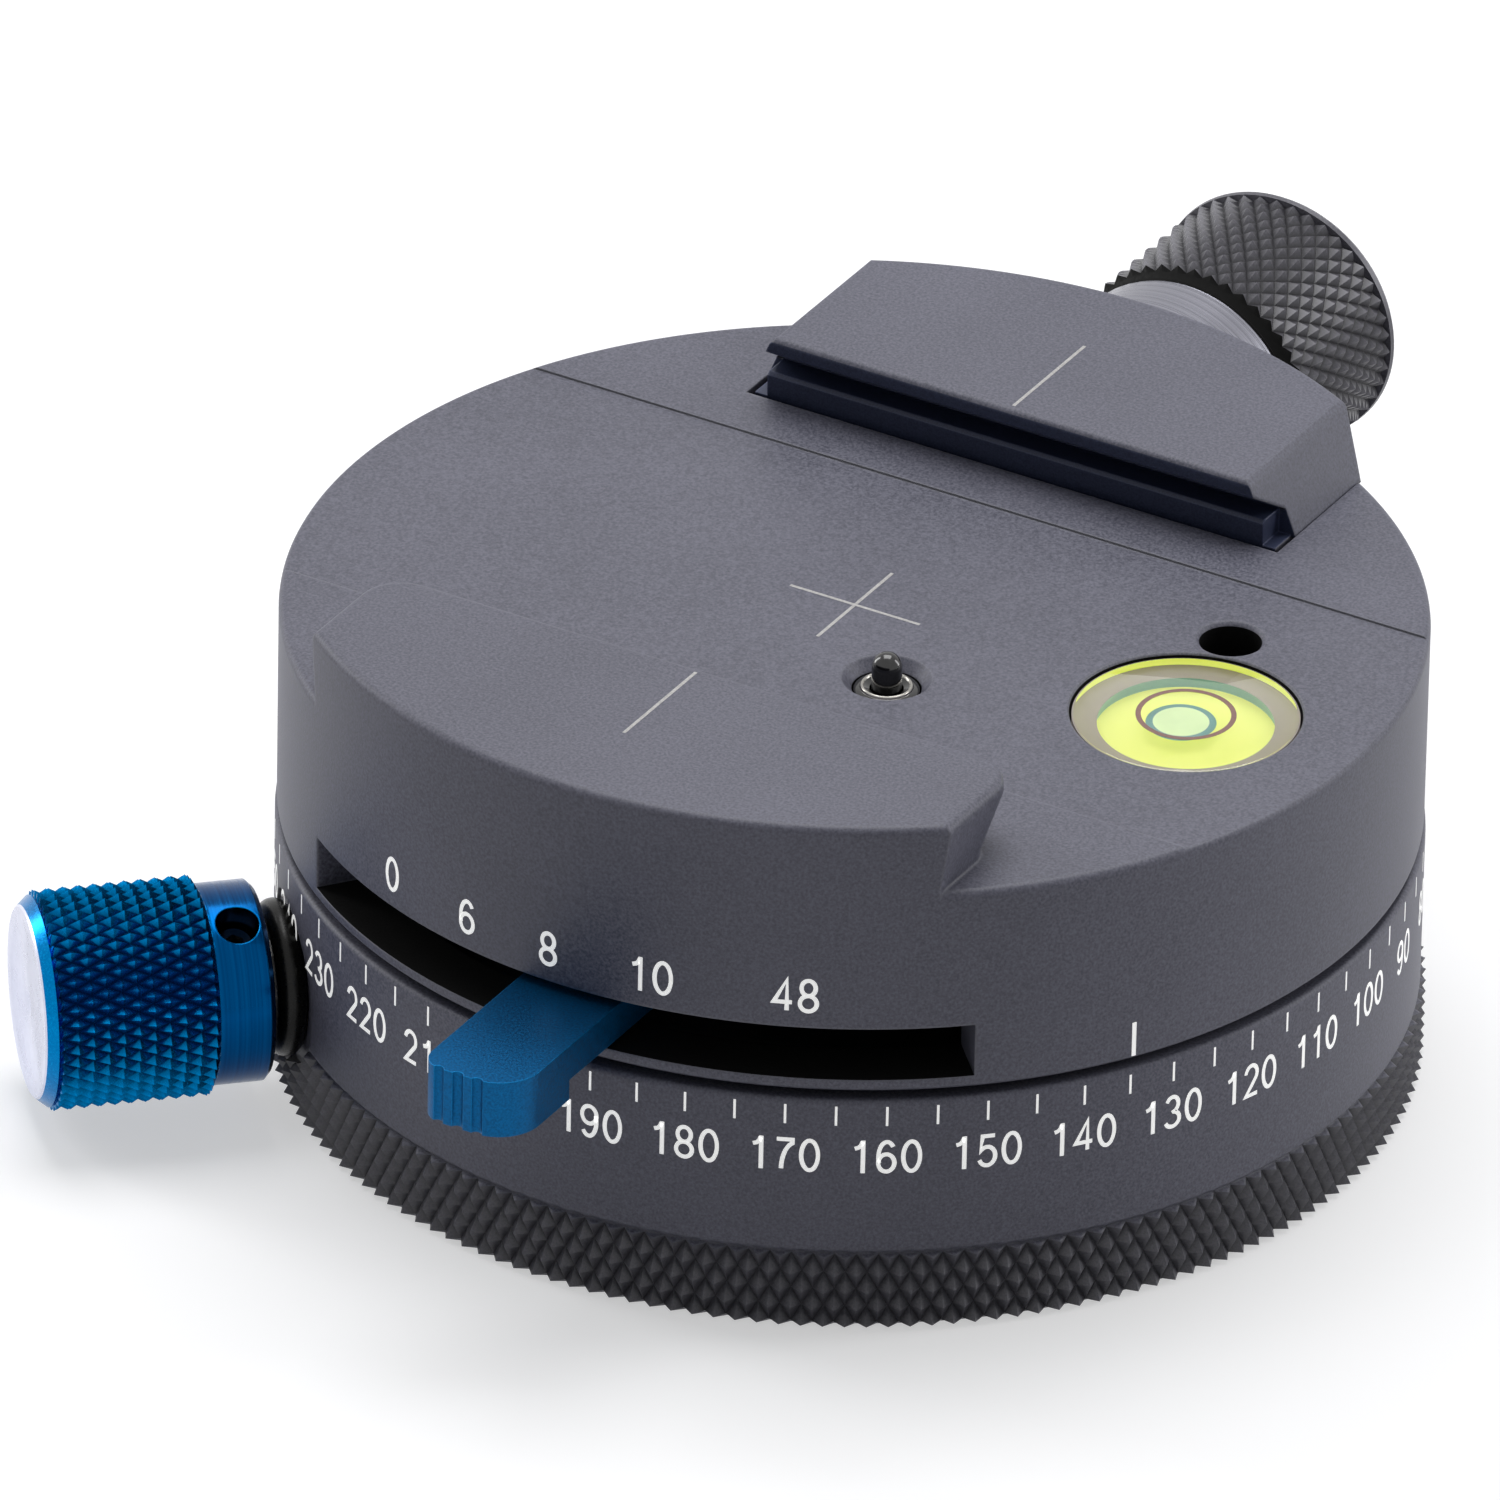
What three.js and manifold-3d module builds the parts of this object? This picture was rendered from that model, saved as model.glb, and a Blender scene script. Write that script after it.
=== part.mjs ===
// Panoramic tripod head with an indexed pan, a dovetail clamp and a bubble level.
// Millimetres, +Z up. Heights are measured from the foot of the base, angles in degrees
// anticlockwise from +X as seen from above. The exported group sets the clamp floor at z = 0.

import * as THREE from 'three';
import { mergeVertices } from 'three/addons/utils/BufferGeometryUtils.js';
import Module from 'manifold-3d';

const wasm = await Module();
wasm.setup();

// Round forms, gaps and the length by which a cutting tool overruns
const facets = { rim: 80, inner: 36, knob: 24, shaft: 16, small: 12, tiny: 8, dimple: 4 };
const overrun = 1.5;
const restGap = 0.05;
const runningGap = 0.1;
const seatGap = 0.3;

// Base: scale ring, foot plate and thread insert
const ring = {
  radius: 32.5, topHeight: 14.8, topRounding: 0.35, roundingSteps: 2,
  knurlHeight: 5.5, knurlProud: 0.35, knurlSink: 0.3, knurlEdge: 0.4,
  knurlColumns: 84, knurlRows: 4,
  cavityWall: 11.3, cavityRoof: 11.4,
  webTop: 13.5, recessWall: 3.3,
};
const plate = { rim: 6.4, thickness: 4.3, screwInset: 2.7, screwCount: 4, screwStart: 0 };
const plateScrew = {
  headRadius: 2.6, shankRadius: 1.5, headDepth: 1.2, length: 9, socketRadius: 1.1, socketDepth: 1,
};
const insert = {
  boreRadius: 4.4, radius: 7, flangeRadius: 10, flangeThickness: 0.9, bottom: 0.2, top: 8.6,
};

// Turning parts between the base and the rotor
const drum = { shoeRoom: 3.2, bottom: 5.6, top: 10.4, recessRadius: 8.2, recessRoof: 9.2 };
const shaft = { radius: 5.5, top: 22.4 };
const bush = { radius: 7.2, flangeRadius: 9, flangeThickness: 0.7 };
const glide = { step: 1, thickness: 0.8 };

// Index disc and its rows of dimples, one row for each setting of the selector
const disc = { innerRadius: 13.4, thickness: 1.1, screwInset: 2.3, screwCount: 3, screwStart: 20 };
const discScrew = {
  headRadius: 1.5, shankRadius: 0.9, headDepth: 0.6, length: 3, socketRadius: 0.6, socketDepth: 0.4,
};
const dimple = { radius: 1.1, depth: 0.9 };

// Rotor housing with its fixed jaw
const rotor = {
  setBack: 0.1, bottom: 15.3, deckBottom: 19.5, floor: 27.9, topRounding: 0.45,
  hubRadius: 8.2, chamberInnerRadius: 8.6, skirtWall: 3.4, chamberBack: 9,
  creaseReach: 13.7, creaseStep: 0.15,
};
const slot = { bottom: 16.1, top: 19.35, firstAngle: -127.4, lastAngle: -47.7 };
const jaw = {
  top: 32.2, lipReach: 17.2, lipDepth: 0.95, undercut: 2, slopeFoot: 0.45,
  fixedHalfLength: 20.5, cornerRadius: 2.6,
  movingHalfTop: 15.45, movingHalfFloor: 17.35,
};

// Selector lever, its reach measured outwards from the rotor
const lever = {
  pivotReach: 13.6, width: 7.5, top: 18.8, bottom: 16.6, tipBottom: 15.3, stepReach: 4.6, tipReach: 11,
  cornerRadius: 2.5, eyeRadius: 4.2, armShare: 0.37, armWidth: 4,
  grooveWidth: 0.7, grooveDepth: 0.45, groovePitch: 1.8,
};
const pivotScrew = {
  headRadius: 3.2, headThickness: 1.2, shoulderRadius: 2, threadRadius: 1.5, threadLength: 4.4,
};
const detentBoss = { radius: 2.9, bottom: 15.9, top: 22.2, boreRadius: 1.5 };
const plunger = { radius: 1.35, ballRadius: 0.9, tip: 14.75, shoulder: 16.4, top: 18.5 };
const detentCap = { thickness: 1 };
const detentWire = { radius: 0.15, coilRadius: 1, turns: 3 };
const settings = [
  { steps: 6, leverAngle: -17.2 },
  { steps: 8, leverAngle: 0 },
  { steps: 10, leverAngle: 19.1 },
  { steps: 48, leverAngle: 42.3 },
];
const leverStops = { first: -34.9, last: 42.3, margin: 3 };

// Pan lock, its knob measured outwards from the face that it is seated over
const lock = { angle: -136.9, height: 7.27, screwRadius: 2.5, spotRadius: 5, spotDepth: 0.5 };
const lockBush = { radius: 3.6, depth: 0.6, length: 4.8 };
const lockSeal = { radius: 4.5, width: 1.7, wall: 1.4, rounding: 0.45 };
const shoe = { thickness: 1.6, width: 6, height: 4, travelGap: 0.35, stem: 1.3 };
const lockKnob = {
  collarStart: 2.2, collarRadius: 5.73, knurlStart: 5.46, knurlEnd: 14.7, end: 15.45,
  crestRadius: 6.28, rootRadius: 5.8, faceRadius: 5.4, edge: 0.5, boreEnd: 10,
  columns: 34, rows: 8,
};
const setScrew = { radius: 1.15, reach: 3.85, turn: 118, depth: 1.5 };

// Dovetail clamp, its knob measured outwards from the moving jaw's seat
const clamp = { axisHeight: 23.43, spindleRadius: 2.9, spindleStart: 10, nutBoreStart: 8.6 };
const pocket = { front: 17.6, halfWidth: 17.35, floor: 18.6 };
const movingJaw = {
  ledgeFront: 17.96, ledgeHeight: 1.55, ledgeHalfLength: 16.2, grooveBack: 19.8,
  blockHalfWidth: 17, blockBottom: 18.9, spotRadius: 7.9, spotDepth: 0.5,
};
const guide = { radius: 1.5, reach: 12, start: 11, wall: 5.4 };
const jawSpring = { wireRadius: 0.3, coilRadius: 2.05, pocketRadius: 2.6, pocketDepth: 7.4, turns: 4 };
const washer = { radius: 5, thickness: 0.4 };
const clampKnob = {
  collarStart: 0.7, collarRadius: 7.27, coneStart: 6, knurlStart: 6.9, knurlEnd: 16.8, end: 17.3,
  crestRadius: 7.75, rootRadius: 7.2, faceRadius: 7.1, boreEnd: 13.1, columns: 38, rows: 8,
};
const relief = { radius: 8.4, depth: 1.4 };
const spring = { stepsPerTurn: 8, sides: 5 };

// Bubble level, safety pin and blind hole in the clamp floor, the level and hole from the rim
const level = {
  edge: 10.7, y: -0.55, pocketRadius: 6.55, pocketDepth: 5.3,
  bodyRadius: 6.4, bodyTop: 27.65, bevel: 0.9, roof: 1.3, cavityRadius: 5.2,
  bubbleRadius: 1.35, bubbleDepth: 0.5, bubbleFootShare: 0.6,
  ringInner: 2.1, ringOuter: 2.35, ringThickness: 0.2,
};
const pin = {
  x: 5.6, y: -6.1, radius: 0.87, collarRadius: 1.35, collarThickness: 0.6, collarTop: 24.1, proud: 1.3,
  boreRadius: 1.97, boreFloor: 20.6, sinkRadius: 2.6, sinkDepth: 0.7,
};
const pinBush = { outerRadius: 1.87, rimRadius: 1.5, top: 27.5, rimHeight: 0.3, boreRadius: 0.97 };
const pinWire = { radius: 0.15, coilRadius: 1.1, turns: 3 };
const blindHole = { edge: 12.6, y: 7.9, radius: 1.8, depth: 7, chamfer: 0.2 };

// Finishes
const finishes = {
  bodyAnodised: { color: 0x4b4d57, roughness: 0.62, metalness: 0.55 },
  knobAnodised: { color: 0x3c3e46, roughness: 0.5, metalness: 0.6 },
  blueAnodised: { color: 0x0a56ac, roughness: 0.38, metalness: 0.7 },
  steel: { color: 0xb4b6ba, roughness: 0.35, metalness: 1 },
  blackSteel: { color: 0x1b1b1e, roughness: 0.3, metalness: 0.8 },
  brass: { color: 0xb9975a, roughness: 0.4, metalness: 1 },
  rubber: { color: 0x151516, roughness: 0.85, metalness: 0 },
  acetal: { color: 0xd8d6cc, roughness: 0.5, metalness: 0 },
  clearAcrylic: { color: 0xeef4e4, roughness: 0.05, metalness: 0 },
  levelLiquid: { color: 0xcfe62a, roughness: 0.1, metalness: 0 },
  levelMark: { color: 0x5a3b1e, roughness: 0.6, metalness: 0 },
};

const degrees = Math.PI / 180;

// Sizes worked out from the driving ones: the base
const knurlCrest = ring.radius + ring.knurlProud;
const knurlRoot = ring.radius - ring.knurlSink;
const recessRadius = ring.radius - ring.recessWall;
const cavityRadius = ring.radius - ring.cavityWall;
const plateRadius = ring.radius - plate.rim;
const plateScrewCircle = plateRadius - plate.screwInset;
const drumRadius = cavityRadius - drum.shoeRoom;
const glideRadius = drumRadius - glide.step;
const discRadius = recessRadius - seatGap;
const discScrewCircle = discRadius - disc.screwInset;
const discTop = ring.webTop + disc.thickness;

// Sizes worked out from the driving ones: the rotor, lever and clamp
const rotorRadius = ring.radius - rotor.setBack;
const chamberRadius = rotorRadius - rotor.skirtWall;
const armLength = lever.armShare * rotorRadius;
const leverStep = rotorRadius + lever.stepReach;
const leverTip = rotorRadius + lever.tipReach;
const plungerBoreTop = detentBoss.top - detentCap.thickness;
const lockFace = ring.radius - lock.spotDepth;
const lockBushEnd = lockFace - lockBush.depth;
const lockBushStart = lockBushEnd - lockBush.length;
const jawFace = rotorRadius - movingJaw.spotDepth;
const guideEnd = rotorRadius - guide.wall;
const levelX = rotorRadius - level.edge;
const levelFloor = rotor.floor - level.pocketDepth;
const pinTop = rotor.floor + pin.proud;
const blindHoleX = rotorRadius - blindHole.edge;

// A closed, outward-facing solid from any three.js geometry
function toSolid(geometry) {
  const bare = geometry.clone();
  bare.deleteAttribute('normal');
  bare.deleteAttribute('uv');
  const merged = mergeVertices(bare);
  const points = merged.attributes.position.array;
  const order = merged.index.array;
  const faces = [];
  let volume = 0;
  for (let i = 0; i < order.length; i += 3) {
    const [a, b, c] = order.subarray(i, i + 3);
    if (a === b || b === c || c === a) continue;
    faces.push(a, b, c);
    const [p, q, r] = [a, b, c].map((v) => new THREE.Vector3().fromArray(points, v * 3));
    volume += p.dot(q.cross(r));
  }
  if (volume < 0) faces.reverse();
  const vertProperties = new Float32Array(points);
  const triVerts = new Uint32Array(faces);
  return new wasm.Manifold(new wasm.Mesh({ numProp: 3, vertProperties, triVerts }));
}

// A three.js geometry from a solid
function toGeometry(solid) {
  const mesh = solid.getMesh();
  const geometry = new THREE.BufferGeometry();
  geometry.setAttribute('position', new THREE.BufferAttribute(mesh.vertProperties, 3));
  geometry.setIndex(new THREE.BufferAttribute(mesh.triVerts, 1));
  return geometry;
}

// A revolved solid about Z from [radius, height] pairs
function turned(profile, count, x = 0, y = 0) {
  const points = profile.map(([radius, height]) => new THREE.Vector2(radius, height));
  return toSolid(new THREE.LatheGeometry(points, count).rotateX(Math.PI / 2).translate(x, y, 0));
}

// A ring of material about Z, its section a closed loop of [radius, height] pairs
function turnedRing(section, count, x = 0, y = 0) {
  return turned([...section, section[0]], count, x, y);
}

// An upright round rod
function upright(radius, bottom, top, count, x = 0, y = 0) {
  const rod = new THREE.CylinderGeometry(radius, radius, top - bottom, count);
  return toSolid(rod.rotateX(Math.PI / 2).translate(x, y, (bottom + top) / 2));
}

// A round rod along +Y at a given x and height
function alongY(radius, start, end, count, x, height) {
  const rod = new THREE.CylinderGeometry(radius, radius, end - start, count);
  return toSolid(rod.translate(x, (start + end) / 2, height));
}

// A round rod on the lock screw's radial axis
function alongLock(radius, start, end, count) {
  const rod = new THREE.CylinderGeometry(radius, radius, end - start, count);
  rod.rotateZ(-Math.PI / 2).translate((start + end) / 2, 0, lock.height);
  return toSolid(rod.rotateZ(lock.angle * degrees));
}

// A straight-sided block between two corners
function block(low, high) {
  const size = high.map((value, i) => value - low[i]);
  const middle = high.map((value, i) => (value + low[i]) / 2);
  return toSolid(new THREE.BoxGeometry(...size).translate(...middle));
}

// An outline in plan, pulled up from bottom to top
function plan(shape, bottom, top, curveSteps = 6) {
  const depth = top - bottom;
  const form = new THREE.ExtrudeGeometry(shape, { depth, bevelEnabled: false, curveSegments: curveSteps });
  return toSolid(form.translate(0, 0, bottom));
}

// An outline of [y, height] pairs pulled along X, centred on x = 0
function rail(outline, halfLength) {
  const shape = new THREE.Shape(outline.map(([y, height]) => new THREE.Vector2(y, height)));
  const form = new THREE.ExtrudeGeometry(shape, { depth: 2 * halfLength, bevelEnabled: false });
  form.rotateX(Math.PI / 2).rotateZ(Math.PI / 2);
  return toSolid(form.translate(-halfLength, 0, 0));
}

// Cuts and joins
function cut(solid, ...tools) {
  return tools.reduce((left, tool) => left.subtract(tool), solid);
}

function join(solid, ...others) {
  return others.reduce((sum, other) => sum.add(other), solid);
}

// A point at a radius and an angle in plan
function polar(radius, angle) {
  return [radius * Math.cos(angle * degrees), radius * Math.sin(angle * degrees)];
}

// Places evenly spaced on a circle
function around(circle, count, start) {
  return Array.from({ length: count }, (_, i) => polar(circle, start + (360 / count) * i));
}

// A body skinned over successive rings of points, closed by a point at each end. The cells are
// split on alternate diagonals, so that the high points of a knurl stand as pyramids.
function skinned(rings, firstCentre, lastCentre, oddSplit = 0) {
  const columns = rings[0].length;
  const points = [firstCentre, ...rings.flat(), lastCentre].flat();
  const last = 1 + rings.length * columns;
  const faces = [];
  for (let column = 0; column < columns; column += 1) {
    const next = (column + 1) % columns;
    faces.push(0, 1 + next, 1 + column);
    for (let row = 0; row + 1 < rings.length; row += 1) {
      const a = 1 + row * columns + column;
      const b = 1 + row * columns + next;
      const crossed = (column + row) % 2 === oddSplit;
      if (crossed) faces.push(a, b, a + columns, b, b + columns, a + columns);
      else faces.push(a, b, b + columns, a, b + columns, a + columns);
    }
    const edge = 1 + (rings.length - 1) * columns;
    faces.push(edge + column, edge + next, last);
  }
  const geometry = new THREE.BufferGeometry();
  geometry.setAttribute('position', new THREE.Float32BufferAttribute(points, 3));
  geometry.setIndex(faces);
  return toSolid(geometry);
}

// A knurled drum about Z: plain [radius, height] rings below and above a band of diamond points
function knurledDrum({ below, above, start, end, crest, root, columns, rows }) {
  const circle = (height, radiusAt) => Array.from({ length: columns }, (_, column) => {
    const [x, y] = polar(radiusAt(column), (360 / columns) * column);
    return [x, y, height];
  });
  const plainRing = ([radius, height]) => circle(height, () => radius);
  const knurlRing = (_, row) => {
    const height = start + ((end - start) * row) / rows;
    return circle(height, (column) => ((column + row) % 2 ? crest : root));
  };
  const band = Array.from({ length: rows + 1 }, knurlRing);
  const rings = [...below.map(plainRing), ...band, ...above.map(plainRing)];
  const bottom = rings[0][0][2];
  const top = rings[rings.length - 1][0][2];
  return skinned(rings, [0, 0, bottom], [0, 0, top], (below.length + 1) % 2);
}

// A round-wire compression spring about Z, one unbroken tube
function springAlongZ({ coilRadius, wireRadius, turns, bottom, top }) {
  const steps = spring.stepsPerTurn * turns;
  const rise = top - bottom - 2 * wireRadius;
  const slope = Math.atan2(rise, 2 * Math.PI * coilRadius * turns);
  const wireCentre = (step) => {
    const [x, y] = polar(coilRadius, (360 / spring.stepsPerTurn) * step);
    return [x, y, bottom + wireRadius + (rise * step) / steps];
  };
  const section = (_, step) => {
    const [x, y, height] = wireCentre(step);
    const out = new THREE.Vector3(x, y, 0).normalize();
    const run = new THREE.Vector3(-out.y, out.x, 0);
    const lift = new THREE.Vector3(0, 0, Math.cos(slope)).addScaledVector(run, -Math.sin(slope));
    return Array.from({ length: spring.sides }, (__, side) => {
      const [across, up] = polar(wireRadius, (360 / spring.sides) * side);
      return new THREE.Vector3(x, y, height).addScaledVector(out, across).addScaledVector(lift, up).toArray();
    });
  };
  return skinned(Array.from({ length: steps + 1 }, section), wireCentre(0), wireCentre(steps));
}

// A countersunk screw about Z with its head at the bottom, and the hole it sits in
function countersunk(screw, x, y, face) {
  const shoulder = face + screw.headDepth;
  const form = turned([
    [0, face], [screw.headRadius, face], [screw.shankRadius, shoulder],
    [screw.shankRadius, face + screw.length], [0, face + screw.length],
  ], facets.small, x, y);
  const socketTop = face + screw.socketDepth;
  return cut(form, upright(screw.socketRadius, face - overrun, socketTop, 6, x, y));
}

function countersink(screw, x, y, face) {
  const wide = screw.headRadius + runningGap;
  const narrow = screw.shankRadius + runningGap;
  const shoulder = face + screw.headDepth;
  return turned([
    [0, face - overrun], [wide, face - overrun], [wide, face], [narrow, shoulder],
    [narrow, face + screw.length + runningGap], [0, face + screw.length + runningGap],
  ], facets.small, x, y);
}

// The scene graph
const head = new THREE.Group();
head.position.z = -rotor.floor;

function addTo(group, name, solid, finish) {
  const mesh = new THREE.Mesh(toGeometry(solid), new THREE.MeshStandardMaterial(finish));
  mesh.name = name;
  group.add(mesh);
  return mesh;
}

function add(name, solid, finish) {
  return addTo(head, name, solid, finish);
}

// Foot plate, screwed up into the ring, and the camera-thread insert that it holds
const plateScrewPlaces = around(plateScrewCircle, plate.screwCount, plate.screwStart);

function makePlate() {
  const form = upright(plateRadius, 0, plate.thickness, facets.inner);
  const insertHole = upright(insert.radius + runningGap, -overrun, plate.thickness + overrun, facets.shaft);
  const holes = plateScrewPlaces.map(([x, y]) => countersink(plateScrew, x, y, 0));
  return cut(form, insertHole, ...holes);
}

function makeInsert() {
  const flangeTop = plate.thickness + insert.flangeThickness;
  return turnedRing([
    [insert.boreRadius, insert.bottom], [insert.radius, insert.bottom], [insert.radius, plate.thickness],
    [insert.flangeRadius, plate.thickness], [insert.flangeRadius, flangeTop],
    [insert.radius, flangeTop], [insert.radius, insert.top], [insert.boreRadius, insert.top],
  ], facets.shaft);
}

// Scale ring with its knurled foot, brake cavity, bearing web and disc recess
function makeRing() {
  const { radius, topHeight, topRounding, roundingSteps, knurlHeight, knurlEdge } = ring;
  const shoulderArc = Array.from({ length: roundingSteps + 1 }, (_, i) => {
    const [out, up] = polar(topRounding, (90 / roundingSteps) * i);
    return [radius - topRounding + out, topHeight - topRounding + up];
  });
  const drumForm = knurledDrum({
    below: [[knurlRoot - knurlEdge, 0]],
    above: [[radius, knurlHeight], ...shoulderArc],
    start: knurlEdge, end: knurlHeight - knurlEdge,
    crest: knurlCrest, root: knurlRoot,
    columns: ring.knurlColumns, rows: ring.knurlRows,
  });
  const platePocket = upright(plateRadius + runningGap, -overrun, plate.thickness, facets.inner);
  const cavity = upright(cavityRadius, 0, ring.cavityRoof, facets.inner);
  const bearingBore = upright(bush.radius + runningGap, 0, topHeight, facets.inner);
  const discRecess = upright(recessRadius, ring.webTop, topHeight + overrun, facets.inner);
  const plateHoles = plateScrewPlaces.map(([x, y]) => countersink(plateScrew, x, y, 0));
  const discHoles = discScrewPlaces.map(([x, y]) => upright(
    discScrew.shankRadius + runningGap, discTop - discScrew.length - runningGap, discTop, facets.tiny, x, y,
  ));
  const spotFace = alongLock(lock.spotRadius, lockFace, radius + overrun, facets.shaft);
  const screwBore = alongLock(lock.screwRadius + seatGap, 0, radius, facets.small);
  const bushBore = alongLock(lockBush.radius + runningGap, lockBushStart, radius, facets.small);
  return cut(
    drumForm, platePocket, cavity, bearingBore, discRecess, ...plateHoles, ...discHoles,
    spotFace, screwBore, bushBore,
  );
}

function makeBush() {
  const bore = shaft.radius + runningGap;
  const flangeTop = ring.webTop + bush.flangeThickness;
  return turnedRing([
    [bore, ring.cavityRoof], [bush.radius, ring.cavityRoof], [bush.radius, ring.webTop],
    [bush.flangeRadius, ring.webTop], [bush.flangeRadius, flangeTop], [bore, flangeTop],
  ], facets.inner);
}

// Index disc: the ball of the selector drops into one row of dimples at a time
const discScrewPlaces = around(discScrewCircle, disc.screwCount, disc.screwStart);

function ballPlace(leverAngle) {
  const [x, y] = polar(armLength, 180 + leverAngle);
  return [x, y - lever.pivotReach];
}

function makeDisc() {
  const form = turnedRing([
    [disc.innerRadius, ring.webTop], [discRadius, ring.webTop],
    [discRadius, discTop], [disc.innerRadius, discTop],
  ], facets.inner);
  const dimples = settings.flatMap(({ steps, leverAngle }) => {
    const [x, y] = ballPlace(leverAngle);
    const first = Math.atan2(y, x) / degrees;
    return around(Math.hypot(x, y), steps, first);
  });
  const cone = ([x, y]) => toSolid(
    new THREE.ConeGeometry(2 * dimple.radius, 2 * dimple.depth, facets.dimple)
      .rotateX(-Math.PI / 2).translate(x, y, discTop),
  );
  const turnOver = ([x, y]) => countersinkFromTop(x, y);
  return cut(form, ...dimples.map(cone), ...discScrewPlaces.map(turnOver));
}

// A disc screw's outline from its foot up to its head, grown by a gap where it is the hole's
function discScrewProfile(extra) {
  const shoulder = discTop - discScrew.headDepth;
  const foot = discTop - discScrew.length - extra;
  return [
    [0, foot], [discScrew.shankRadius + extra, foot], [discScrew.shankRadius + extra, shoulder],
    [discScrew.headRadius + extra, discTop],
  ];
}

function countersinkFromTop(x, y) {
  const wide = discScrew.headRadius + runningGap;
  const above = discTop + overrun;
  return turned([...discScrewProfile(runningGap), [wide, above], [0, above]], facets.tiny, x, y);
}

function makeDiscScrew(x, y) {
  const form = turned([...discScrewProfile(0), [0, discTop]], facets.tiny, x, y);
  const socket = upright(discScrew.socketRadius, discTop - discScrew.socketDepth, discTop + overrun, 6, x, y);
  return cut(form, socket);
}

// Spindle: brake drum below the web and a shaft up into the rotor
function makeSpindle() {
  return turned([
    [0, drum.recessRoof], [drum.recessRadius, drum.recessRoof], [drum.recessRadius, drum.bottom],
    [drumRadius, drum.bottom], [drumRadius, drum.top], [shaft.radius, drum.top],
    [shaft.radius, shaft.top], [0, shaft.top],
  ], facets.inner);
}

function makeGlide() {
  const bottom = drum.top + runningGap;
  const top = bottom + glide.thickness;
  const bore = shaft.radius + seatGap;
  return turnedRing([[bore, bottom], [glideRadius, bottom], [glideRadius, top], [bore, top]], facets.shaft);
}

// Plan outlines used by the rotor
function sector(innerRadius, outerRadius, firstAngle, lastAngle) {
  const shape = new THREE.Shape();
  shape.absarc(0, 0, outerRadius, firstAngle * degrees, lastAngle * degrees, false);
  shape.absarc(0, 0, innerRadius, lastAngle * degrees, firstAngle * degrees, true);
  shape.closePath();
  return shape;
}

// Fixed jaw in plan: a straight lip with rounded corners, its back on the rotor's cylinder
function fixedJawPlan(lip, halfLength) {
  const back = -rotorRadius - overrun;
  const round = jaw.cornerRadius;
  const shape = new THREE.Shape();
  shape.moveTo(-halfLength, back);
  shape.lineTo(halfLength, back);
  shape.lineTo(halfLength, lip - round);
  shape.absarc(halfLength - round, lip - round, round, 0, Math.PI / 2, false);
  shape.absarc(round - halfLength, lip - round, round, Math.PI / 2, Math.PI, false);
  shape.closePath();
  return shape;
}

// The dovetail under a lip: an undercut that slopes away from it, [reach, height] from lip to foot
function dovetailSection(side) {
  const lip = side * jaw.lipReach;
  const foot = side * (jaw.lipReach + jaw.undercut);
  const slopeTop = jaw.top - jaw.lipDepth;
  const slopeFoot = rotor.floor + jaw.slopeFoot;
  return [[lip, slopeTop], [foot, slopeFoot], [foot, rotor.floor]];
}

function makeFixedJaw() {
  const form = plan(fixedJawPlan(-jaw.lipReach, jaw.fixedHalfLength), rotor.floor - seatGap, jaw.top);
  const undercut = rail([...dovetailSection(-1), [0, rotor.floor], [0, jaw.top - jaw.lipDepth]], rotorRadius);
  return cut(form, undercut);
}

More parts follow.
